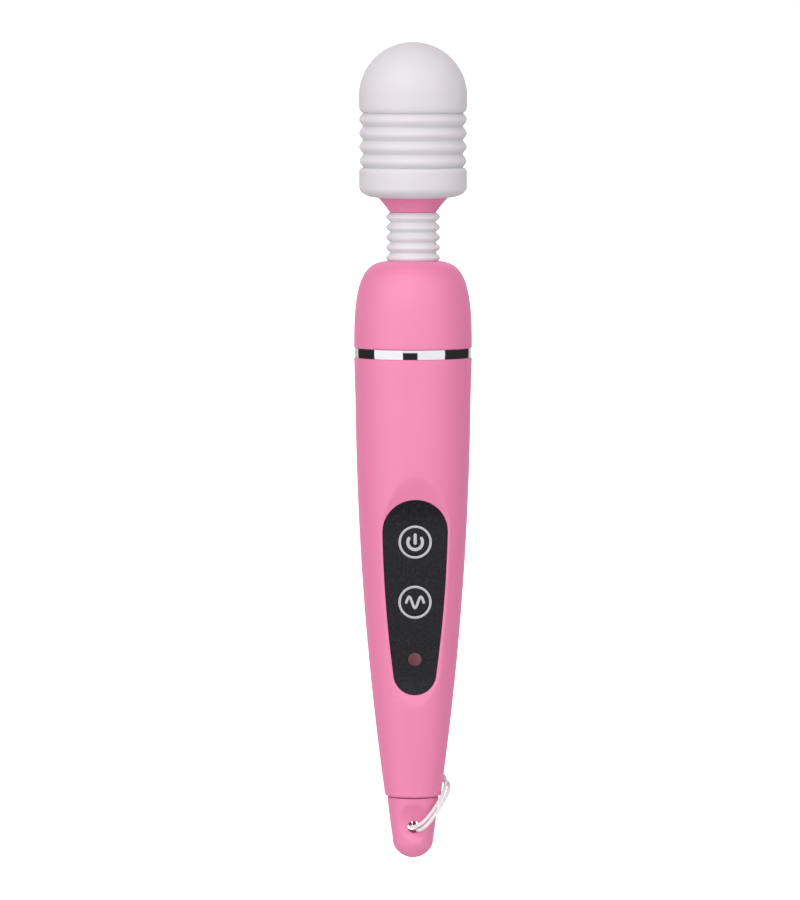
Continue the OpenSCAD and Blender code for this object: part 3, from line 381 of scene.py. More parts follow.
def mirrored(half, top):
    """A half outline, the point at its top, and its mirror image back down to the start."""
    return np.concatenate([half, [[0, top]], half[1:][::-1] * [-1, 1]])


def between(start, end, count):
    """Evenly spaced chart points from start towards end, without the end."""
    return np.stack([np.linspace(a, b, count, endpoint=False) for a, b in zip(start, end)], axis=-1)


def round_rectangle(half_angle, low, high, counts):
    """Chart points round a rectangle, from the middle of its foot: half foot, side, head, side, half foot."""
    corners = [(0, low), (half_angle, low), (half_angle, high), (0, high)]
    half = [between(a, b, count) for a, b, count in zip(corners, corners[1:], counts)]
    return mirrored(np.concatenate(half), high)


def panel_outline(counts):
    """The panel's outline as (across, up): a small arc, a side that swells a little, and a large arc."""
    foot, side, head = counts
    top_centre, bottom_centre = PANEL_UP - PANEL_TOP_R, PANEL_BOTTOM_R - PANEL_DOWN
    a = np.linspace(-math.pi / 2, 0, foot, endpoint=False)
    b = np.linspace(0, math.pi / 2, head, endpoint=False)
    s = np.linspace(0, 1, side, endpoint=False)
    across = PANEL_BOTTOM_R + (PANEL_TOP_R - PANEL_BOTTOM_R) * s + PANEL_BULGE * 4 * s * (1 - s)
    small = np.stack([PANEL_BOTTOM_R * np.cos(a), bottom_centre + PANEL_BOTTOM_R * np.sin(a)], axis=-1)
    straight = np.stack([across, bottom_centre + (top_centre - bottom_centre) * s], axis=-1)
    large = np.stack([PANEL_TOP_R * np.cos(b), top_centre + PANEL_TOP_R * np.sin(b)], axis=-1)
    return mirrored(np.concatenate([small, straight, large]), PANEL_UP)


def grown(outline, amount):
    """Moves a closed outline outwards along its normals."""
    tangent = np.roll(outline, -1, axis=0) - np.roll(outline, 1, axis=0)
    tangent /= np.linalg.norm(tangent, axis=1)[:, None]
    return outline + amount * np.stack([tangent[:, 1], -tangent[:, 0]], axis=-1)


class Skin:
    """A turned skin with a front cut into it, its crease rounded over a width.

    Each chart point is (angle from the front, length along the meridian).
    """

    reach = 6.0

    def __init__(self, meridian, front, crease):
        self.r, self.z = np.asarray(meridian, float).T
        steps = np.hypot(np.diff(self.r), np.diff(self.z))
        self.length = np.concatenate([[0], np.cumsum(steps)])
        self.front, self.crease = front, crease

    def radius(self, angle, r, z):
        """The meridian's radius, or the front's distance over the angle's cosine where that is less."""
        cosine = np.cos(angle)
        ahead = self.front(z) / np.maximum(cosine, 0.05)
        return np.where(ahead < r + self.reach, softer_of(r, ahead, self.crease), r)

    def place(self, chart):
        """Chart points to points in the wand's frame."""
        angle, length = chart[..., 0], chart[..., 1]
        r = np.interp(length, self.length, self.r)
        z = np.interp(length, self.length, self.z)
        out = self.radius(angle, r, z)
        return np.stack([out * np.sin(angle), -out * np.cos(angle), z], axis=-1)

    def chart(self, x, z):
        """The chart points that lie at a distance x across and a height z, on the front side."""
        length = np.interp(z, self.z, self.length)
        r = np.interp(z, self.z, self.r)
        angle = np.arctan2(x, self.front(z))
        for _ in range(12):
            angle = np.arcsin(np.clip(x / self.radius(angle, r, z), -0.999, 0.999))
        return np.stack([angle, length], axis=-1)


def spread(skin, start, edge, count, growth):
    """Rows of points on a skin, from one closed line of its chart out to another, ever wider apart."""
    share = growing_shares(count, growth)[:, None, None]
    return skin.place(start + share * (edge - start))


def rolled_lip(skin, opening, edge, lip, degrees):
    """Rows of points that roll off a skin into an opening over a small lip."""
    rows = []
    for a in np.radians(degrees):
        row = skin.place(opening(edge + lip * (1 - math.sin(a))))
        rows.append(row + np.array([0, lip * (1 - math.cos(a)), 0]))
    return rows


def foot_and_head(counts):
    """The columns of a chart along its rectangle's foot and along its head, from corner to corner."""
    foot, side, head = counts
    columns = 2 * sum(counts)
    along_foot = np.concatenate([np.arange(columns - foot, columns), np.arange(0, foot + 1)])
    return along_foot, np.arange(foot + side, foot + side + 2 * head + 1)


def quarter_round(r, z, size, start, end, steps=6):
    """Points of an arc about (r, z), its angles in degrees."""
    a = np.radians(np.linspace(start, end, steps))
    return np.stack([r + size * np.cos(a), z + size * np.sin(a)], axis=-1)


def strip(*rows):
    """Faces between rows of points that run side by side."""
    points = np.stack(rows)
    return points.reshape(-1, 3), grid_faces(points.shape[0], points.shape[1])


def at_radius(row, radius, z):
    """A row of points kept at their angles, moved to a radius and a height."""
    angle = np.arctan2(row[:, 0], -row[:, 1])
    return np.stack([radius * np.sin(angle), -radius * np.cos(angle), np.full(len(row), z)], axis=-1)


def carried_down(row, outline):
    """A row of points followed by rows at its angles that take their radius and height from an outline."""
    return [row] + [at_radius(row, r, z) for r, z in outline[1:]]


def grip_skin():
    """The grip: its softly sunken face, the pocket for the panel, the window behind it and its inner wall."""
    counts = (36, 84, 52)
    heights = np.linspace(SEAM_Z + GRIP_EDGE, MOUTH_Z - RIM_EDGE, 240)
    meridian = np.stack([grip_taper(heights), heights], axis=-1)
    foot_round = quarter_round(meridian[0, 0] - GRIP_EDGE, heights[0], GRIP_EDGE, 0, -90, 12)
    rim_round = quarter_round(meridian[-1, 0] - RIM_EDGE, heights[-1], RIM_EDGE, 0, 90, 6)
    outer = Skin(meridian, face_distance, SCOOP_CREASE)
    window = np.stack([grip_taper(heights) - WALL, heights], axis=-1)
    window[:, 0] = np.minimum(window[:, 0], GRIP_R - WALL)
    window[0, 1], window[-1, 1] = SEAM_Z + GRIP_FOOT, MOUTH_Z
    inner = Skin(window, lambda z: face_distance(z) - FACE_WALL, 0.1)

    outline = panel_outline(counts)

    def opening(skin, grow):
        shape = grown(outline, grow)
        z = PANEL_Z + shape[:, 1] * math.cos(FACE_LEAN)
        rise = face_distance(z) - FACE_DISTANCE - math.tan(FACE_LEAN) * (z - PANEL_Z)
        return skin.chart(shape[:, 0], z - rise * math.sin(FACE_LEAN))

    def sunk(row):
        """A row moved straight back to the pocket's floor."""
        moved = row.copy()
        moved[:, 1] = -(face_distance(row[:, 2]) - POCKET_DEPTH)
        return moved

    lip = 0.15
    edge = round_rectangle(math.pi, 0, outer.length[-1], counts)
    outside = spread(outer, opening(outer, POCKET_GAP + lip), edge, 60, 1.045)
    window_line = opening(inner, -LEDGE)
    window_edge = inner.place(window_line)
    pocket = [outside[0]]
    pocket += rolled_lip(outer, lambda grow: opening(outer, grow), POCKET_GAP, lip, [30, 60, 90])
    pocket += [sunk(outer.place(opening(outer, POCKET_GAP))), sunk(window_edge), window_edge]
    inner_edge = round_rectangle(math.pi, 0, inner.length[-1], counts)
    inside = spread(inner, window_line, inner_edge, 26, 1.05)

    along_foot, along_head = foot_and_head(counts)
    low_out, high_out = outside[-1, along_foot], outside[-1, along_head]
    low_rows = carried_down(low_out, foot_round) + [
        at_radius(low_out, TAIL_BORE_R, SEAM_Z),
        at_radius(low_out, TAIL_BORE_R, SEAM_Z + GRIP_FOOT),
        inside[-1, along_foot],
    ]
    high_rows = carried_down(high_out, rim_round) + [inside[-1, along_head]]
    walls = [closed_rows(rows) for rows in (outside, pocket, inside)]
    return to_mesh("grip_skin", *joined(*walls, strip(*low_rows), strip(*high_rows)), crease=38.0)


settle(grip_skin(), "grip_shell")

# ---------- shoulder and trim ring ----------


def shoulder_curve(inset, stop_r, count):
    """A superellipse from the shoulder's foot up to a radius near the axis."""
    a = SHOULDER_R - inset
    b = NECK_CROWN - inset
    last = math.acos((stop_r / a) ** 2.6)
    t = last * (1 - (1 - np.linspace(0, 1, count)) ** 1.5)
    return np.stack([a * np.cos(t) ** (2 / 5.2), SHOULDER_Z + b * np.sin(t) ** (2 / 2.8)], axis=-1)


SPIGOT_FOOT = shoulder_low[2]
NECK_HOLE_R = 7.0
NECK_SEAT_R = 9.1
SEAT_PLATE_R = 11.6
SHOULDER_EDGE = 0.3
SHELF_Z = LIP_Z + 0.05


def shoulder():
    """The shoulder: a superellipse outside, its offset inside, a spigot below and the neck's hole above."""
    outside = shoulder_curve(0, NECK_HOLE_R + SHOULDER_EDGE, 70)
    outside = outside[outside[:, 1] > SHOULDER_Z + SHOULDER_EDGE]
    crown = outside[-1, 1]
    bore = SPIGOT_R - SPIGOT_WALL
    inside = shoulder_curve(WALL, SEAT_PLATE_R, 30)[::-1]
    inside[:, 0] = np.minimum(inside[:, 0], bore)
    inside = inside[inside[:, 1] > SHOULDER_Z + 1]
    foot_r, hole_r = SHOULDER_R - SHOULDER_EDGE, NECK_HOLE_R + SHOULDER_EDGE
    profile = np.concatenate(
        [
            [[SPIGOT_R, SPIGOT_FOOT], [SPIGOT_R, SHOULDER_Z], [foot_r, SHOULDER_Z]],
            quarter_round(foot_r, SHOULDER_Z + SHOULDER_EDGE, SHOULDER_EDGE, -80, 0, 5),
            outside,
            quarter_round(hole_r, crown - SHOULDER_EDGE, SHOULDER_EDGE, 100, 180, 5),
            [[NECK_HOLE_R, SHELF_Z], [NECK_SEAT_R, SHELF_Z], [NECK_SEAT_R, SEAT_Z], [SEAT_PLATE_R, SEAT_Z]],
            inside[inside[:, 1] < SEAT_Z],
            [[bore, SHOULDER_Z], [bore, SPIGOT_FOOT]],
        ]
    )
    boss_low, boss_high = measured("cradle_screws")[0][2] + 1.6, NECK_Z - 4
    boss_bore, boss_r = 0.8, 2.0
    boss = [[boss_bore, boss_low], [boss_r, boss_low], [boss_r, boss_high], [boss_bore, boss_high]]
    pillar = turned(boss, 32)
    across = bore - 2.4
    pillars = [(pillar[0] + [x, 0, 0], pillar[1]) for x in (across, -across)]
    return to_mesh("shoulder_skin", *joined(turned(profile, 192), *pillars), crease=38.0)


settle(shoulder(), "shoulder_shell")


def trim_ring():
    """The bright ring: a band whose face swells slightly between two eased edges."""
    low, high, r = ring_low[2], ring_high[2], ring_high[0]
    s = np.linspace(-1, 1, 25)
    half = (high - low) / 2 - 0.12
    face = np.stack([r - 0.05 * s * s, (low + high) / 2 + half * s], axis=-1)
    flat_r, bore = r - 0.17, SPIGOT_R + 0.05
    edge = [[flat_r, high], [bore, high], [bore, low], [flat_r, low]]
    return to_mesh("trim_ring_band", *turned(np.concatenate([face, edge]), 256), crease=30.0)


settle(trim_ring(), "trim_ring")

# ---------- panel, rings, keys and lens ----------


def softened(node, width, segments=2, crease=35.0):
    """A merged copy of a CAD node, its flat faces rejoined and its corners rounded by a Bevel modifier."""
    mesh = nodes[node].data.copy()
    mesh.materials.clear()
    work = bmesh.new()
    work.from_mesh(mesh)
    bmesh.ops.remove_doubles(work, verts=work.verts, dist=1e-6)
    bmesh.ops.dissolve_limit(work, angle_limit=math.radians(0.4), verts=work.verts, edges=work.edges)
    work.to_mesh(mesh)
    work.free()
    for name in ("custom_normal", "sharp_edge", "sharp_face"):
        if name in mesh.attributes:
            mesh.attributes.remove(mesh.attributes[name])
    smooth_but_creased(mesh, crease)
    piece = bpy.data.objects.new(node + "_soft", mesh)
    bpy.context.scene.collection.objects.link(piece)
    bevel = piece.modifiers.new("rounded corners", "BEVEL")
    bevel.width = width * MM
    bevel.segments = segments
    bevel.limit_method = "ANGLE"
    bevel.angle_limit = math.radians(crease)
    bevel.harden_normals = False
    return settle(piece, node)


softened("control_panel", 0.1)


def button_ring(name, up):
    """A bright ring round a key: a band with a half-round top."""
    outer, inner = BEZEL_R - 0.01, BEZEL_R - BEZEL_WIDTH
    middle, half = (outer + inner) / 2, (outer - inner) / 2
    a = np.linspace(0, math.pi, 17)
    top = np.stack([middle + half * np.cos(a), -0.12 + 0.12 * np.sin(a) ** 0.7], axis=-1)
    profile = np.concatenate([top, [[inner, -POCKET_DEPTH], [outer, -POCKET_DEPTH]]])
    points, faces = turned(profile, 128)
    return to_mesh(name, stood_on_face(points, up), faces, crease=50.0)


settle(button_ring("power_ring", BUTTON_PITCH), "power_bezel")
settle(button_ring("mode_ring", 0.0), "mode_bezel")


def key(name, up):
    """A push button: a flat key with an eased edge, on a flange and a stem."""
    top, flange, under, tip = -0.1, -1.71, -2.4, -5.3
    cap = [[0, top], [KEY_R, top], [KEY_R, flange]]
    skirt = [[KEY_FLANGE_R, flange], [KEY_FLANGE_R, under]]
    profile = cap + skirt + [[KEY_STEM_R, under], [KEY_STEM_R, tip], [0, tip]]
    eased = eased_corners(profile, [0, 0.22, 0.1, 0.1, 0.1, 0.2, 0.1, 0], 5)
    points, faces = turned(eased, 128)
    return to_mesh(name, stood_on_face(points, up), faces, crease=50.0)


settle(key("power_key_cap", BUTTON_PITCH), "power_button")
settle(key("mode_key_cap", 0.0), "mode_button")


def lens():
    """The indicator's lens: a low dome on a flange."""
    a = np.linspace(0, math.pi / 2, 14)
    dome = np.stack([LAMP_R * np.sin(a), -0.24 + 0.16 * np.cos(a)], axis=-1)
    low = -POCKET_DEPTH
    foot = [[LAMP_R, low], [LAMP_R + 0.8, low], [LAMP_R + 0.8, low - 0.7], [0, low - 0.7]]
    points, faces = turned(np.concatenate([dome, foot]), 96)
    return to_mesh("indicator_lens_dome", stood_on_face(points, -LAMP_DROP), faces, crease=50.0)


settle(lens(), "indicator_lens")

# ---------- end cap ----------

CAP_R = 7.75
CAP_END_Z = 5.4
CAP_EDGE = 0.25
HOLE_R = 1.8
HOLE_Z = 9.7
HOLLOW_DEPTH = 1.4
HOLLOW_HALF = 5.5
CAP_TAPER = 0.13
SOCKET_R = 5.0
SOCKET_FLOOR = SEAM_Z - 5.8 - 0.35


def cap_meridian():
    """The cap's outline from its tip: a blunt round end, then a side that widens to the seam."""
    top = cap_high[2]
    side_z = top - CAP_EDGE
    end_r = CAP_R - CAP_TAPER * (side_z - CAP_END_Z)
    a = np.linspace(0, math.pi / 2, 50)
    end_radius = (end_r - CAP_TAPER * CAP_END_Z * (1 - np.sin(a))) * np.sin(a)
    end = np.stack([end_radius, CAP_END_Z * (1 - np.cos(a))], axis=-1)
    s = np.linspace(0, 1, 40)[1:]
    z = CAP_END_Z + (side_z - CAP_END_Z) * s
    side = np.stack([end_r + (CAP_R - end_r) * s + 0.06 * np.sin(math.pi * s), z], axis=-1)
    edge = quarter_round(CAP_R - CAP_EDGE, side_z, CAP_EDGE, 0, 90, 7)[1:]
    return np.concatenate([end, side, edge])


def end_cap():
    """The end cap: a hollow pressed into front and back, the loop's hole through both, a socket on top."""
    meridian = cap_meridian()
    curve = (HOLLOW_HALF**2 + HOLLOW_DEPTH**2) / (2 * HOLLOW_DEPTH)
    surface_r = CAP_R - CAP_TAPER * (cap_high[2] - HOLE_Z) + 0.02

    def hollow(z):
        inside = np.clip(curve**2 - (z - HOLE_Z) ** 2, 0, None)
        return surface_r - HOLLOW_DEPTH + curve - np.sqrt(inside)

    skin = Skin(meridian, hollow, 0.3)
    counts = (16, 30, 16)
    angles = np.radians([-90, -45, 45, 90])
    spans = [np.linspace(low, high, n, endpoint=False) for low, high, n in zip(angles, angles[1:], counts)]
    a = np.concatenate(spans)
    ring = mirrored(np.stack([np.cos(a), np.sin(a)], axis=-1), 1)

    def opening(r):
        return skin.chart(r * ring[:, 0], HOLE_Z + r * ring[:, 1])

    lip, tip_z, side_z = 0.3, 3.0, cap_high[2] - CAP_EDGE
    low, high = np.interp([tip_z, side_z], skin.z, skin.length)
    edge = round_rectangle(math.pi / 2, low, high, counts)
    front = spread(skin, opening(HOLE_R + lip), edge, 40, 1.05)
    tunnel = np.stack([front[0]] + rolled_lip(skin, opening, HOLE_R, lip, [25, 50, 70, 90]))
    mirror = np.array([1, -1, 1])
    through = np.concatenate([tunnel, (tunnel * mirror)[::-1]])
    along_foot, along_head = foot_and_head(counts)
    top = cap_high[2]
    mouth = [[SOCKET_R + 0.2, top], [SOCKET_R, top - 0.2], [SOCKET_R, SOCKET_FLOOR], [0.0, SOCKET_FLOOR]]
    rim_outline = np.concatenate([meridian[meridian[:, 1] >= side_z - 1e-6], mouth])
    tip_outline = np.concatenate([[[0.0, tip_z]], meridian[meridian[:, 1] < tip_z][::-1]])
    ends = (
        carried_down(front[-1, along_head], rim_outline),
        carried_down(front[-1, along_foot], tip_outline),
    )
    points, faces = joined(
        *(closed_rows(rows) for rows in (front, front * mirror, through)),
        *(strip(*[row * side for row in rows]) for rows in ends for side in (1, mirror)),
    )
    return to_mesh("end_cap_skin", points, faces, crease=40.0)


settle(end_cap(), "end_cap")

# ---------- neck ----------

NECK_R = 8.15
NECK_GROOVE = 1.2
NECK_RIBS = 5
NECK_WALL = 1.0
GROOVE_EASE = 0.04
LOBE_POWER = 0.55
NECK_PITCH = (CONE_Z - NECK_Z) / (NECK_RIBS - 0.2)
NECK_START = CONE_Z - NECK_RIBS * NECK_PITCH
NECK_FOOT_R = 9.0
FLANGE_R = 7.9
THROAT_R = 5.9
FLANGE_BORE_R = 4.85
NECK_PIECES = ("neck_bellows_lower", "neck_bellows_upper")


def ribs(count, pitch, low, groove_r, crest, steps):
    """Rounded lobes, one to a pitch: a raised cosine to a power over the groove, whose bottom is eased."""
    s = np.linspace(0, count, count * steps + 1)
    wave = (1 - np.cos(2 * math.pi * s)) / 2
    lowest, highest = GROOVE_EASE**LOBE_POWER, (1 + GROOVE_EASE) ** LOBE_POWER
    lobe = ((wave + GROOVE_EASE) ** LOBE_POWER - lowest) / (highest - lowest)
    return np.stack([groove_r + crest * lobe, low + pitch * s], axis=-1)


def split_at(outline, z):
    """The part of an open outline below z and the part above it, each with a point at z."""
    order = np.argsort(outline[:, 1], kind="stable")
    here = np.array([[np.interp(z, outline[order, 1], outline[order, 0]), z]])
    below, above = outline[outline[:, 1] < z - 1e-6], outline[outline[:, 1] > z + 1e-6]
    return below, above, here


def bends_across(piece, half, *stands_for):
    """A half of the neck: it hides the CAD nodes that it stands for and has its place baked into its mesh."""
    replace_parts(piece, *stands_for)
    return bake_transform(piece)


def bellows():
    """The ribbed rubber neck as two rings that meet at the bend, each with an outer and an inner wall."""
    valley = NECK_R - NECK_GROOVE
    outer = ribs(NECK_RIBS, NECK_PITCH, NECK_START, valley, NECK_GROOVE, 24)
    outer = outer[(outer[:, 1] > NECK_Z - 0.6) & (outer[:, 1] < CONE_Z - 0.01)]
    inner = ribs(NECK_RIBS, NECK_PITCH, NECK_START, valley - NECK_WALL, NECK_GROOVE, 12)
    inner = inner[(inner[:, 1] > NECK_Z + 0.4) & (inner[:, 1] < CONE_Z - 0.6)]
    out_low, out_high, out_here = split_at(outer, NECK_BEND_Z)
    in_low, in_high, in_here = split_at(inner, NECK_BEND_Z)
    foot_r = valley - 1.15
    foot = [[foot_r, SEAT_Z], [NECK_FOOT_R, SEAT_Z], [NECK_FOOT_R, LIP_Z], [valley, LIP_Z]]
    low = np.concatenate([foot, out_low, out_here, in_here, in_low[::-1]])
    top = bellows_high[2]
    flange = [[THROAT_R, CONE_Z], [THROAT_R, STEP_Z], [FLANGE_R, STEP_Z], [FLANGE_R, top]]
    flange += [[FLANGE_BORE_R, top], [FLANGE_BORE_R, CONE_Z - 0.5]]
    high = np.concatenate([out_here, out_high, flange, in_high[::-1], in_here])
    for half, profile in enumerate((low, high)):
        bends_across(to_mesh(NECK_PIECES[half], *turned(profile, 144), crease=50.0), half, "neck_bellows")


bellows()


def neck_spring():
    """The coil that carries the head: a wire along a helix, cut in two at the bend."""
    low, high = measured("neck_spring")
    wire = 0.6
    r = high[0] - wire
    turns = math.floor((high[2] - low[2] - 2 * wire) / (2.3 * wire))
    t = np.linspace(0, 1, turns * 28 + 1)
    turn = 2 * math.pi * turns * t
    z = low[2] + wire + (high[2] - low[2] - 2 * wire) * t
    path = np.stack([r * np.cos(turn), r * np.sin(turn), z], axis=-1)
    middle = int(np.argmin(np.abs(path[:, 2] - NECK_BEND_Z)))
    names = ("neck_spring_lower", "neck_spring_upper")
    for half, part in enumerate((path[: middle + 1], path[middle:])):
        bends_across(to_mesh(names[half], *tube(part, wire, 10), crease=60.0), half, "neck_spring")


neck_spring()


def neck_leads():
    """The motor's two insulated leads through the spring, each in a lower and an upper length."""
    low, high = measured("neck_leads")
    for half in (0, 1):
        tubes = []
        for side in (-1, 1):
            points = [
                (side * 1.2, 0, low[2]), (side * 1.2, 0.3, NECK_Z), (side * 1.4, 0, NECK_BEND_Z),
                (side * 1.2, -0.3, CONE_Z), (side * 1.6, 0, high[2]),
            ]
            path = smooth_route(points, 10)
            path = path[(path[:, 2] - NECK_BEND_Z) * (1, -1)[half] <= 0]
            tubes.append(tube(path, 0.5, 12))
        piece = to_mesh(("neck_leads_lower", "neck_leads_upper")[half], *joined(*tubes), crease=60.0)
        bends_across(piece, half, "neck_leads")


neck_leads()

# ---------- head ----------

HEAD_R = 16.2
SKIN = 2.5
HEAD_GROOVE = 1.2
HEAD_RIBS = 4
RIB_PITCH = 4.12
BAND_HEIGHT = 4.6
LIP_HEIGHT = 3.3
CONE_R = 10.5
CORE_BORE_R = 8.25
SEAT_BORE_R = 7.95
THROAT_BORE_R = 5.95


def head_cap():
    """The soft head: a rolled lip, a straight band, rounded ribs and a dome, round the hard core."""
    dome_z = TOP_Z - HEAD_R
    groove_z = dome_z - 4.9
    rib_low = groove_z - HEAD_RIBS * RIB_PITCH
    foot_z = HEAD_FOOT + LIP_HEIGHT
    band_z = foot_z + BAND_HEIGHT
    groove_r = HEAD_R - HEAD_GROOVE
    a = np.radians(np.linspace(-90, 0, 24))
    inner_r = CONE_R + 0.1
    foot = np.stack([inner_r + (HEAD_R - inner_r) * np.cos(a), foot_z + LIP_HEIGHT * np.sin(a)], axis=-1)
    a = np.radians(np.linspace(0, 90, 12))
    band_r = HEAD_R - HEAD_GROOVE * (1 - np.cos(a))
    band = np.stack([band_r, band_z + (rib_low - band_z) * np.sin(a)], axis=-1)
    lobes = ribs(HEAD_RIBS, RIB_PITCH, rib_low, groove_r, HEAD_GROOVE - 0.1, 22)[1:]
    a = np.radians(np.linspace(0, 90, 14))[1:]
    shoulder = np.stack([groove_r + HEAD_GROOVE * np.sin(a), groove_z + 2.2 * (1 - np.cos(a))], axis=-1)
    a = np.radians(np.linspace(0, 90, 60))
    dome = np.stack([HEAD_R * np.cos(a), dome_z + HEAD_R * np.sin(a)], axis=-1)
    core_r = HEAD_R - SKIN
    a = np.radians(np.linspace(90, 0, 40))
    hollow = np.stack([core_r * np.cos(a), dome_z + core_r * np.sin(a)], axis=-1)
    bore = CONE_R + 0.05
    inside = [[core_r, PLATE_Z], [bore, PLATE_Z], [bore, HEAD_FOOT + 0.1]]
    profile = np.concatenate([foot, band, lobes, shoulder, dome, hollow, inside])
    return to_mesh("head_cap_skin", *turned(profile, 192), crease=45.0)


settle(head_cap(), "head_cap")


def head_cone():
    """The pink cone: it widens from the neck to the lip of the head, and its flange carries the core."""
    low_r, edge, low_z = NECK_R - 0.9, 0.2, CONE_Z + 0.2
    s = np.linspace(0, 1, 20)[1:]
    side_r = low_r + (CONE_R - low_r) * s - 0.12 * np.sin(math.pi * s)
    side = np.stack([side_r, low_z + (HEAD_FOOT - low_z) * s], axis=-1)
    core_z, core_r = cone_high[2], HEAD_R - SKIN - 0.05
    seat_z = CONE_Z + 4.5 + 2.2
    profile = np.concatenate(
        [
            [[THROAT_BORE_R, CONE_Z]],
            quarter_round(low_r - edge, low_z, edge, -90, 0, 5),
            side,
            [[CONE_R, PLATE_Z], [core_r, PLATE_Z], [core_r, core_z], [CORE_BORE_R, core_z]],
            [[CORE_BORE_R, seat_z], [SEAT_BORE_R, seat_z], [SEAT_BORE_R, STEP_Z], [THROAT_BORE_R, STEP_Z]],
        ]
    )
    return to_mesh("head_cone_skin", *turned(profile, 160), crease=40.0)


settle(head_cone(), "head_cone")

# ---------- shared surface effects ----------


class Board:
    """Places nodes in a node tree and wires them. A value is a number or a socket."""

    def __init__(self, tree):
        self.tree = tree
        self.column = 0

    def add(self, kind, **settings):
        node = self.tree.nodes.new(kind)
        self.column += 1
        node.location = (self.column * 180, 0)
        for name, value in settings.items():
            setattr(node, name, value)
        return node

    def join(self, *pairs):
        for a, b in pairs:
            self.tree.links.new(a, b)

    def feed(self, *pairs):
        for value, socket in pairs:
            if isinstance(value, (int, float)):
                socket.default_value = value
            else:
                self.join((value, socket))

    def place(self):
        return self.add("ShaderNodeTexCoord").outputs["Object"]

    def noise(self, place, scale, detail=2.0):
        node = self.add("ShaderNodeTexNoise")
        self.join((place, node.inputs["Vector"]))
        self.feed((scale, node.inputs["Scale"]), (detail, node.inputs["Detail"]))
        return node.outputs["Fac"]

    def bump(self, height, lift):
        node = self.add("ShaderNodeBump")
        self.feed((height, node.inputs["Height"]), (lift, node.inputs["Distance"]))
        return node.outputs["Normal"]

    def maths(self, operation, a, b, clamp=False):
        node = self.add("ShaderNodeMath", operation=operation, use_clamp=clamp)
        self.feed((a, node.inputs[0]), (b, node.inputs[1]))
        return node.outputs[0]

    def times(self, first, *others, clamp=False):
        for other in others:
            first = self.maths("MULTIPLY", first, other, clamp)
        return first


def effect(name, inputs, outputs):
    """An empty shader group with named sockets. Each input is (kind, name, value)."""
    tree = bpy.data.node_groups.new(name, "ShaderNodeTree")
    for kind, label, value in inputs:
        socket = tree.interface.new_socket(name=label, in_out="INPUT", socket_type="NodeSocket" + kind)
        if value is not None:
            socket.default_value = value
    for kind, label in outputs:
        tree.interface.new_socket(name=label, in_out="OUTPUT", socket_type="NodeSocket" + kind)
    board = Board(tree)
    return tree, board, board.add("NodeGroupInput").outputs, board.add("NodeGroupOutput").inputs


def grain_effect():
    """Moulded grain: fine noise lifts the surface, and a broad noise gives an uneven mask."""
    tree, board, given, out = effect(
        "moulded grain",
        [
            ("Float", "Grains per metre", 4000.0),
            ("Float", "Grain lift", 0.00002),
            ("Float", "Patches per metre", 60.0),
        ],
        [("Vector", "Normal"), ("Float", "Grain"), ("Float", "Patches")],
    )
    place = board.place()
    fine = board.noise(place, given["Grains per metre"], 3.0)
    broad = board.noise(place, given["Patches per metre"])
    normal = board.bump(fine, given["Grain lift"])
    board.join((normal, out["Normal"]), (fine, out["Grain"]), (broad, out["Patches"]))
    return tree


def speck_effect():
    """Specks and lint: small cells far apart, kept where a broad noise allows them."""
    tree, board, given, out = effect(
        "specks",
        [
            ("Float", "Cells per metre", 900.0),
            ("Float", "Speck share", 0.12),
            ("Float", "Bare share", 0.52),
            ("Float", "Amount", 0.3),
        ],
        [("Float", "Mask")],
    )
    place = board.place()
    cells = board.add("ShaderNodeTexVoronoi", feature="F1")
    board.join((place, cells.inputs["Vector"]), (given["Cells per metre"], cells.inputs["Scale"]))
    near = board.maths("SUBTRACT", given["Speck share"], cells.outputs["Distance"])
    near = board.times(near, 14.0, clamp=True)
    kept = board.maths("SUBTRACT", board.noise(place, 130.0), given["Bare share"])
    kept = board.times(kept, 9.0, clamp=True)
    board.join((board.times(near, kept, given["Amount"]), out["Mask"]))
    return tree


def wear_effect():
    """Edge rub: where the surface is convex, broken up by noise."""
    tree, board, given, out = effect(
        "edge rub",
        [("Float", "Start", 0.53), ("Float", "Sharpness", 12.0), ("Float", "Amount", 0.3)],
        [("Float", "Mask")],
    )
    broken = board.noise(board.place(), 900.0, 3.0)
    point = board.add("ShaderNodeNewGeometry").outputs["Pointiness"]
    high = board.times(board.maths("SUBTRACT", point, given["Start"]), given["Sharpness"], clamp=True)
    board.join((board.times(high, broken, given["Amount"]), out["Mask"]))
    return tree


def drawn_effect():
    """Drawn or turned metal: noise stretched along one axis."""
    tree, board, given, out = effect(
        "drawn metal",
        [("Vector", "Stretch", (400.0, 400.0, 9000.0)), ("Float", "Line lift", 0.000004)],
        [("Vector", "Normal"), ("Float", "Lines")],
    )
    stretch = board.add("ShaderNodeVectorMath", operation="MULTIPLY")
    board.join((board.place(), stretch.inputs[0]), (given["Stretch"], stretch.inputs[1]))
    lines = board.noise(stretch.outputs[0], 1.0, 3.0)
    board.join((board.bump(lines, given["Line lift"]), out["Normal"]), (lines, out["Lines"]))
    return tree


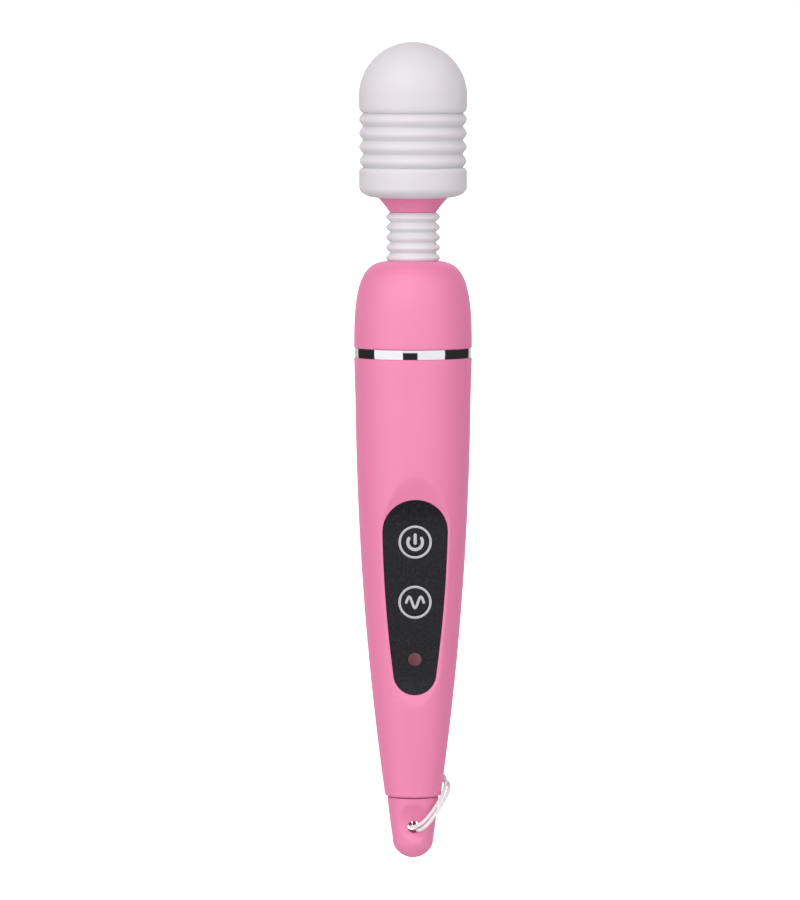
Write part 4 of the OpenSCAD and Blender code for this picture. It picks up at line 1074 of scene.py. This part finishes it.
def braid_effect():
    """A round braid on a cord's own UV: two sets of strands that cross, and a mask of the hollows between
    them where shade is painted dark.
    """
    tree, board, given, out = effect(
        "round braid",
        [("Float", "Strands", 8.0), ("Float", "Turns per mm", 0.55), ("Float", "Strand lift", 0.00006)],
        [("Vector", "Normal"), ("Float", "Gap mask for painted shade")],
    )
    split = board.add("ShaderNodeSeparateXYZ")
    board.join((board.add("ShaderNodeUVMap", uv_map=CORD_UV).outputs["UV"], split.inputs[0]))
    around = board.times(split.outputs["X"], given["Strands"])
    along = board.times(split.outputs["Y"], given["Turns per mm"], 4.0)
    waves = []
    for operation in ("ADD", "SUBTRACT"):
        turn = board.times(board.maths(operation, around, along), 2 * math.pi)
        waves.append(board.times(board.maths("COSINE", turn, 0.0), 0.5))
    height = board.maths("ADD", board.maths("MAXIMUM", *waves), 0.5)
    gap_mask_for_painted_shade = board.maths("SUBTRACT", 1.0, height, clamp=True)
    board.join((board.bump(height, given["Strand lift"]), out["Normal"]), (gap_mask_for_painted_shade, out["Gap mask for painted shade"]))
    return tree


GRAIN, SPECKS, RUB = grain_effect(), speck_effect(), wear_effect()
DRAWN, BRAID = drawn_effect(), braid_effect()

# ---------- finishes ----------


class Finish:
    """A material in the making: a Principled surface whose colour is layered from masks."""

    def __init__(self, name, colour, rough, metallic=0.0, **constants):
        self.material = bpy.data.materials.new(name)
        self.material.use_nodes = True
        self.material.node_tree.nodes.clear()
        self.board = Board(self.material.node_tree)
        self.surface = self.board.add("ShaderNodeBsdfPrincipled")
        output = self.board.add("ShaderNodeOutputMaterial")
        self.board.join((self.surface.outputs[0], output.inputs["Surface"]))
        self.surface.inputs["Base Color"].default_value = (*colour, 1.0)
        self.surface.inputs["Roughness"].default_value = rough
        self.surface.inputs["Metallic"].default_value = metallic
        for label, value in constants.items():
            self.surface.inputs[label.replace("_", " ")].default_value = value
        self.colour = (*colour, 1.0)
        self.rough = rough

    def uses(self, tree, **values):
        """Places a shared effect with this finish's own values."""
        group = self.board.add("ShaderNodeGroup", node_tree=tree)
        for label, value in values.items():
            group.inputs[label.replace("_", " ")].default_value = value
        return group.outputs

    def tint(self, mask, colour, amount=1.0):
        """Lays another colour over what is there, where the mask is high."""
        mix = self.board.add("ShaderNodeMix", data_type="RGBA", blend_type="MIX")
        a, b = mix.inputs[6], mix.inputs[7]
        if isinstance(self.colour, tuple):
            a.default_value = self.colour
        else:
            self.board.join((self.colour, a))
        b.default_value = (*colour, 1.0)
        if amount != 1.0:
            mask = self.board.maths("MULTIPLY", mask, amount)
        self.board.join((mask, mix.inputs["Factor"]), (mix.outputs[2], self.surface.inputs["Base Color"]))
        self.colour = mix.outputs[2]

    def sharpened(self, mask, middle, gain):
        """A mask with more contrast: zero up to its middle value, then rising by gain."""
        return self.board.maths("MULTIPLY", self.board.maths("SUBTRACT", mask, middle), gain, clamp=True)

    def roughen(self, mask, spread):
        """Roughness rises and falls with a mask round its middle value."""
        swing = self.board.maths("MULTIPLY", self.board.maths("SUBTRACT", mask, 0.5), spread)
        rough = self.board.maths("ADD", swing, self.rough, clamp=True)
        self.board.join((rough, self.surface.inputs["Roughness"]))

    def normal(self, socket):
        self.board.join((socket, self.surface.inputs["Normal"]))


def moulded(name, colour, rough, grains, lift, patch, patch_colour, patch_amount=0.5, **constants):
    """A moulded or coated finish: grain, uneven patches of a second tone, and roughness that varies."""
    finish = Finish(name, colour, rough, **constants)
    grain = finish.uses(GRAIN, Grains_per_metre=grains, Grain_lift=lift, Patches_per_metre=patch)
    finish.tint(grain["Patches"], patch_colour, patch_amount)
    finish.roughen(grain["Grain"], 0.16)
    finish.normal(grain["Normal"])
    return finish


def drawn(name, colour, rough, stretch, lift=0.000004, dark=0.8, **constants):
    """A drawn, rolled or turned metal: fine lines in its shine and a slight tarnish."""
    finish = Finish(name, colour, rough, metallic=1.0, **constants)
    lines = finish.uses(DRAWN, Stretch=stretch, Line_lift=lift)
    grain = finish.uses(GRAIN, Grains_per_metre=2500.0, Grain_lift=0.0, Patches_per_metre=220.0)
    finish.tint(grain["Patches"], tuple(c * dark for c in colour), 0.8)
    finish.roughen(lines["Lines"], 0.2)
    finish.normal(lines["Normal"])
    return finish


def pink_coat():
    """Soft-touch pink: a fine grain with a soft bloom at the edges, rubbed paler where it is convex."""
    finish = moulded(
        "soft touch pink", (0.812, 0.174, 0.366), 0.58, 5200.0, 0.000018, 45.0, (0.832, 0.184, 0.376),
        IOR=2.1, Sheen_Weight=0.6, Sheen_Roughness=0.5, Sheen_Tint=(1.0, 0.38, 0.62, 1.0),
    )
    rub = finish.uses(RUB, Start=0.54, Sharpness=10.0, Amount=0.25)
    finish.tint(rub["Mask"], (0.95, 0.5, 0.64))
    specks = finish.uses(SPECKS, Cells_per_metre=260.0, Speck_share=0.035, Amount=0.25)
    finish.tint(specks["Mask"], (0.7, 0.2, 0.35))
    return finish


def silicone(name="matte white silicone", white=0.665, depth=0.6):
    """White silicone that lets some light through, with a little lint on it."""
    finish = moulded(
        name, (white, 0.971 * white, 1.007 * white), 0.5, 3000.0, 0.00002, 60.0,
        (1.029 * white, 0.986 * white, 1.021 * white),
        Subsurface_Weight=depth, Subsurface_Scale=0.003, Subsurface_Radius=(1.0, 0.55, 0.65),
    )
    lint = finish.uses(SPECKS, Cells_per_metre=420.0, Speck_share=0.05, Amount=0.35)
    finish.tint(lint["Mask"], (0.62, 0.55, 0.6))
    return finish


def neck_silicone_painted_lighter():
    """The neck's thinner silicone: painted paler than the head's, painted light that lifts the shade the head
    casts on the neck, and lit nearer its surface.
    """
    return silicone("neck silicone painted lighter", 0.705, 0.15)


def chrome():
    """Polished chrome, a little duller where it is rubbed."""
    finish = drawn("polished chrome", (0.8, 0.8, 0.82), 0.045, (300.0, 300.0, 5000.0), 0.0000006, 0.97)
    rub = finish.uses(RUB, Start=0.56, Sharpness=10.0, Amount=0.2)
    finish.tint(rub["Mask"], (0.66, 0.66, 0.68))
    return finish


def black_grain():
    """Grained black: a coarse mottle under small glints."""
    finish = moulded(
        "grained black panel", (0.007, 0.006, 0.008), 0.5, 1800.0, 0.00005, 2600.0, (0.011, 0.009, 0.012),
        IOR=1.38,
    )
    mottle = finish.uses(GRAIN, Grains_per_metre=2200.0, Grain_lift=0.0, Patches_per_metre=900.0)
    finish.tint(finish.sharpened(mottle["Grain"], 0.48, 5.0), (0.02, 0.017, 0.021))
    glint = finish.uses(SPECKS, Cells_per_metre=1900.0, Speck_share=0.3, Bare_share=0.0, Amount=0.4)
    finish.tint(glint["Mask"], (0.04, 0.06, 0.065))
    return finish


def satin_silver():
    """Silver-coloured rings with a soft shine, partly lit like paint and partly like metal."""
    finish = moulded(
        "satin silver", (0.62, 0.62, 0.64), 0.34, 3000.0, 0.000004, 500.0, (0.56, 0.56, 0.58), Metallic=0.45
    )
    rub = finish.uses(RUB, Start=0.56, Sharpness=10.0, Amount=0.15)
    finish.tint(rub["Mask"], (0.95, 0.95, 0.96))
    return finish


def cord_braid():
    """White braided cord, with painted shade in the hollows between its strands: a pinkish grey."""
    finish = Finish("white braided cord", (0.84, 0.82, 0.83), 0.7, Sheen_Weight=0.25)
    braid = finish.uses(BRAID, Strands=8.0, Turns_per_mm=0.14, Strand_lift=0.00007)
    # Painted shade: the hollows between the strands darkened to a pinkish grey
    finish.tint(braid["Gap mask for painted shade"], (0.55, 0.47, 0.5), 0.8)
    finish.roughen(braid["Gap mask for painted shade"], 0.2)
    finish.normal(braid["Normal"])
    return finish


def green_board():
    """Green solder mask with gold-coloured specks."""
    finish = moulded(
        "solder mask green", (0.02, 0.16, 0.06), 0.3, 3000.0, 0.000006, 500.0, (0.03, 0.22, 0.09)
    )
    gold = finish.uses(SPECKS, Cells_per_metre=700.0, Speck_share=0.2, Amount=0.8)
    finish.tint(gold["Mask"], (0.6, 0.5, 0.25))
    return finish


LAYERED = {
    "pink": pink_coat,
    "silicone": silicone,
    "neck silicone painted lighter": neck_silicone_painted_lighter,
    "chrome_trim": chrome,
    "black_panel": black_grain,
    "cord_white": cord_braid,
    "green_board": green_board,
    "silver_ring": satin_silver,
}

# Name, colour, roughness, grains per metre, grain lift in metres, patches per metre, their colour, extras
MOULDED = {
    # The tail spigot seen in the seam: a pink brighter and fuller than the grip's, a painted glow that makes
    # up for the shade in the gap
    "seam pink painted glow": ("deep pink", (1.0, 0.07, 0.25), 0.6, 5200, 0.000018, 45, (1.0, 0.1, 0.3)),
    "red_lens": (
        "dusty red lens", (0.12, 0.03, 0.042), 0.35, 2600, 0.00001, 700, (0.16, 0.045, 0.06),
        ("Coat_Weight", 0.5), ("Coat_Roughness", 0.15),
    ),
    "silver_print": (
        "silver print", (0.5, 0.5, 0.52), 0.45, 4500, 0.00001, 3500, (0.72, 0.72, 0.74), ("Metallic", 0.25)
    ),
    "black_plastic": ("moulded black", (0.02, 0.02, 0.022), 0.45, 3000, 0.00002, 300, (0.035, 0.034, 0.036)),
    "white_plastic": ("moulded white", (0.72, 0.72, 0.7), 0.42, 2400, 0.000015, 150, (0.78, 0.77, 0.74)),
    "grey_plastic": ("moulded grey", (0.24, 0.24, 0.25), 0.45, 2600, 0.00002, 200, (0.31, 0.31, 0.32)),
    "lamp_red": (
        "clear red lamp", (0.5, 0.02, 0.03), 0.12, 1500, 0.000003, 400, (0.62, 0.04, 0.04),
        ("Coat_Weight", 0.8),
    ),
    "seal_rubber": ("seal rubber", (0.03, 0.03, 0.03), 0.6, 3500, 0.00001, 400, (0.05, 0.05, 0.05)),
    "pad_foam": ("pad foam", (0.05, 0.05, 0.05), 0.9, 1400, 0.00012, 500, (0.09, 0.09, 0.09)),
    "sleeve_rubber": ("sleeve rubber", (0.07, 0.07, 0.07), 0.65, 1800, 0.00003, 250, (0.1, 0.1, 0.1)),
    "cell_wrap": (
        "cell shrink wrap", (0.04, 0.16, 0.4), 0.28, 900, 0.00002, 120, (0.05, 0.2, 0.46),
        ("Coat_Weight", 0.3),
    ),
    "magnet": ("sintered magnet", (0.06, 0.06, 0.065), 0.5, 3600, 0.00003, 400, (0.1, 0.1, 0.1)),
    "lead_red": ("red insulation", (0.5, 0.02, 0.02), 0.35, 2600, 0.00001, 300, (0.6, 0.04, 0.03)),
    "lead_black": ("black insulation", (0.02, 0.02, 0.02), 0.35, 2600, 0.00001, 300, (0.035, 0.035, 0.035)),
}
MOULDED_COLUMNS = 7

# Name, colour, roughness, stretch of the lines, and their lift in metres where it isn't slight
LINES_UP = (900.0, 900.0, 60.0)
LINES_ROUND = (300.0, 300.0, 6000.0)
EVEN_GRAIN = (3000.0, 3000.0, 3000.0)
DRAWN_METALS = {
    "steel": ("zinc plated steel", (0.62, 0.62, 0.64), 0.3, LINES_ROUND),
    "spring_steel": ("drawn spring wire", (0.5, 0.5, 0.51), 0.28, LINES_UP),
    "nickel": ("nickel strip", (0.7, 0.68, 0.64), 0.3, LINES_UP),
    "gold_contact": ("gold plate", (0.85, 0.62, 0.24), 0.25, LINES_UP),
    "bronze": ("sintered bronze", (0.5, 0.34, 0.18), 0.45, EVEN_GRAIN, 0.00001),
    "copper": ("enamelled winding", (0.62, 0.27, 0.13), 0.3, LINES_ROUND, 0.00004),
    "brass_weight": ("turned brass", (0.66, 0.5, 0.22), 0.3, LINES_ROUND),
}

materials = {slot: make().material for slot, make in LAYERED.items()}
for slot, row in MOULDED.items():
    materials[slot] = moulded(*row[:MOULDED_COLUMNS], **dict(row[MOULDED_COLUMNS:])).material
for slot, row in DRAWN_METALS.items():
    materials[slot] = drawn(*row).material
# The tail spigot takes a pink painted brighter, a painted glow against the seam's shade; the neck takes a
# silicone painted paler, painted light against the shade the head casts on it
UNLIKE_THEIR_SLOT = {"tail_spigot": "seam pink painted glow", **{name: "neck silicone painted lighter" for name in NECK_PIECES}}


def coat(piece, node, name):
    """Gives a piece the finish of its CAD node's material slot, unless one of its own goes by its name."""
    piece.data.materials.clear()
    piece.data.materials.append(materials[UNLIKE_THEIR_SLOT.get(name, slot_of_node[node])])


for node, piece in nodes.items():
    if not piece.hide_render:
        coat(piece, node, node)
for piece in bpy.data.objects:
    if piece.type == "MESH" and "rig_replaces" in piece:
        coat(piece, piece["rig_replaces"][0], piece.name)

# ---------- stage and light ----------


FLOOR_R = 9000.0
FLOOR_GLOW = 0.6
FLOOR_BOUNCE = 0.42
FLOOR_DROP = 36.0


def floor():
    """A wide round floor, low enough to pull the end cap off; its rings widen as the square of their number.

    It glows to the camera, more so further out, and lights the wand a little from below.
    """
    rings, sides = 40, 96
    r = FLOOR_R * (np.arange(1, rings + 1) / rings) ** 2
    angle = 2 * math.pi * np.arange(sides) / sides
    x, y = r[:, None] * np.cos(angle), r[:, None] * np.sin(angle)
    points = np.stack([x, y, np.full(x.shape, cap_low[2] - FLOOR_DROP)], axis=-1)
    points, faces = closed_rows(points)
    mesh = bpy.data.meshes.new("studio_floor")
    middle = [list(range(sides))]
    mesh.from_pydata((points * MM).tolist(), [], faces[:, ::-1].tolist() + middle)
    ground = bpy.data.objects.new("studio_floor", mesh)
    bpy.context.scene.collection.objects.link(ground)
    paper = moulded("pale studio floor", (0.55, 0.55, 0.55), 0.8, 900.0, 0.00001, 3.0, (0.58, 0.58, 0.58))
    board = paper.board
    away = board.add("ShaderNodeVectorMath", operation="LENGTH")
    board.join((board.place(), away.inputs[0]))
    distance = away.outputs["Value"]
    ray = board.add("ShaderNodeLightPath").outputs
    far = board.times(board.maths("SUBTRACT", distance, 0.02), 7.0, clamp=True)
    seen = board.times(board.maths("ADD", far, FLOOR_GLOW), ray["Is Camera Ray"])
    near = board.maths("SUBTRACT", 1.0, board.times(distance, 2.5), clamp=True)
    bounced = board.times(near, FLOOR_BOUNCE, ray["Is Diffuse Ray"])
    board.join((board.maths("ADD", seen, bounced), paper.surface.inputs["Emission Strength"]))
    paper.surface.inputs["Emission Color"].default_value = (1.0, 1.0, 1.0, 1.0)
    mesh.materials.append(paper.material)
    ground.visible_glossy = False


floor()

# Spans of directions in degrees from the front, heights and distances in metres
LEFT_BOX = (-85.5, -23.0)
RIGHT_BOX = (6.0, 63.0)
BACK_BOX = (142.0, 218.0)
BRIDGE_BOX = (-23.0, 6.0)
BOX_HEIGHT = (-0.45, 1.25)
BRIDGE_HEIGHT = (0.172, 1.25)
BOX_DISTANCE = 1.0
TOP_PLACE = Vector((-0.3, -0.8, 1.2))
TOP_AIM = Vector((0.0, 0.0, 0.12))
TOP_SIZE = 0.85


def area_light(name, place, turn, size, radiance):
    """A rectangular light of some width and height that the camera doesn't see itself."""
    data = bpy.data.lights.new(name, "AREA")
    data.shape = "RECTANGLE"
    data.size, data.size_y = size
    data.energy = radiance * math.pi * size[0] * size[1]
    light = bpy.data.objects.new(name, data)
    light.location = place
    light.rotation_euler = turn
    light.visible_camera = False
    bpy.context.scene.collection.objects.link(light)


def soft_box(name, span, heights, radiance):
    """A tall light that fills a span of directions, seen from the wand."""
    middle, half = math.radians(sum(span) / 2), math.radians((span[1] - span[0]) / 2)
    low, high = heights
    across, ahead = math.sin(middle) * BOX_DISTANCE, -math.cos(middle) * BOX_DISTANCE
    size = (2 * BOX_DISTANCE * math.tan(half), high - low)
    area_light(name, (across, ahead, (low + high) / 2), (math.radians(90), 0, middle), size, radiance)


soft_box("left soft box", LEFT_BOX, BOX_HEIGHT, 1.12)
soft_box("right soft box", RIGHT_BOX, BOX_HEIGHT, 1.03)
soft_box("back soft box", BACK_BOX, BOX_HEIGHT, 0.6)
soft_box("bridge soft box", BRIDGE_BOX, BRIDGE_HEIGHT, 1.0)
top_turn = (TOP_PLACE - TOP_AIM).to_track_quat("Z", "Y").to_euler()
area_light("top soft box", TOP_PLACE, top_turn, (TOP_SIZE, TOP_SIZE), 1.25)

SKY_LIGHT = 0.72
SKY_IN_GLOSS = -0.685
SKY_SEEN = 0.68
world = bpy.data.worlds.new("studio")
bpy.context.scene.world = world
world.use_nodes = True
world.node_tree.nodes.clear()
air = Board(world.node_tree)
ray = air.add("ShaderNodeLightPath")
sky = air.add("ShaderNodeBackground")
strength = air.maths("ADD", air.times(ray.outputs["Is Glossy Ray"], SKY_IN_GLOSS), SKY_LIGHT)
strength = air.maths("ADD", strength, air.times(ray.outputs["Is Camera Ray"], SKY_SEEN))
air.join((strength, sky.inputs["Strength"]))
air.join((sky.outputs[0], air.add("ShaderNodeOutputWorld").inputs["Surface"]))

bpy.context.scene.view_settings.view_transform = "Standard"
bpy.context.scene.view_settings.look = "None"
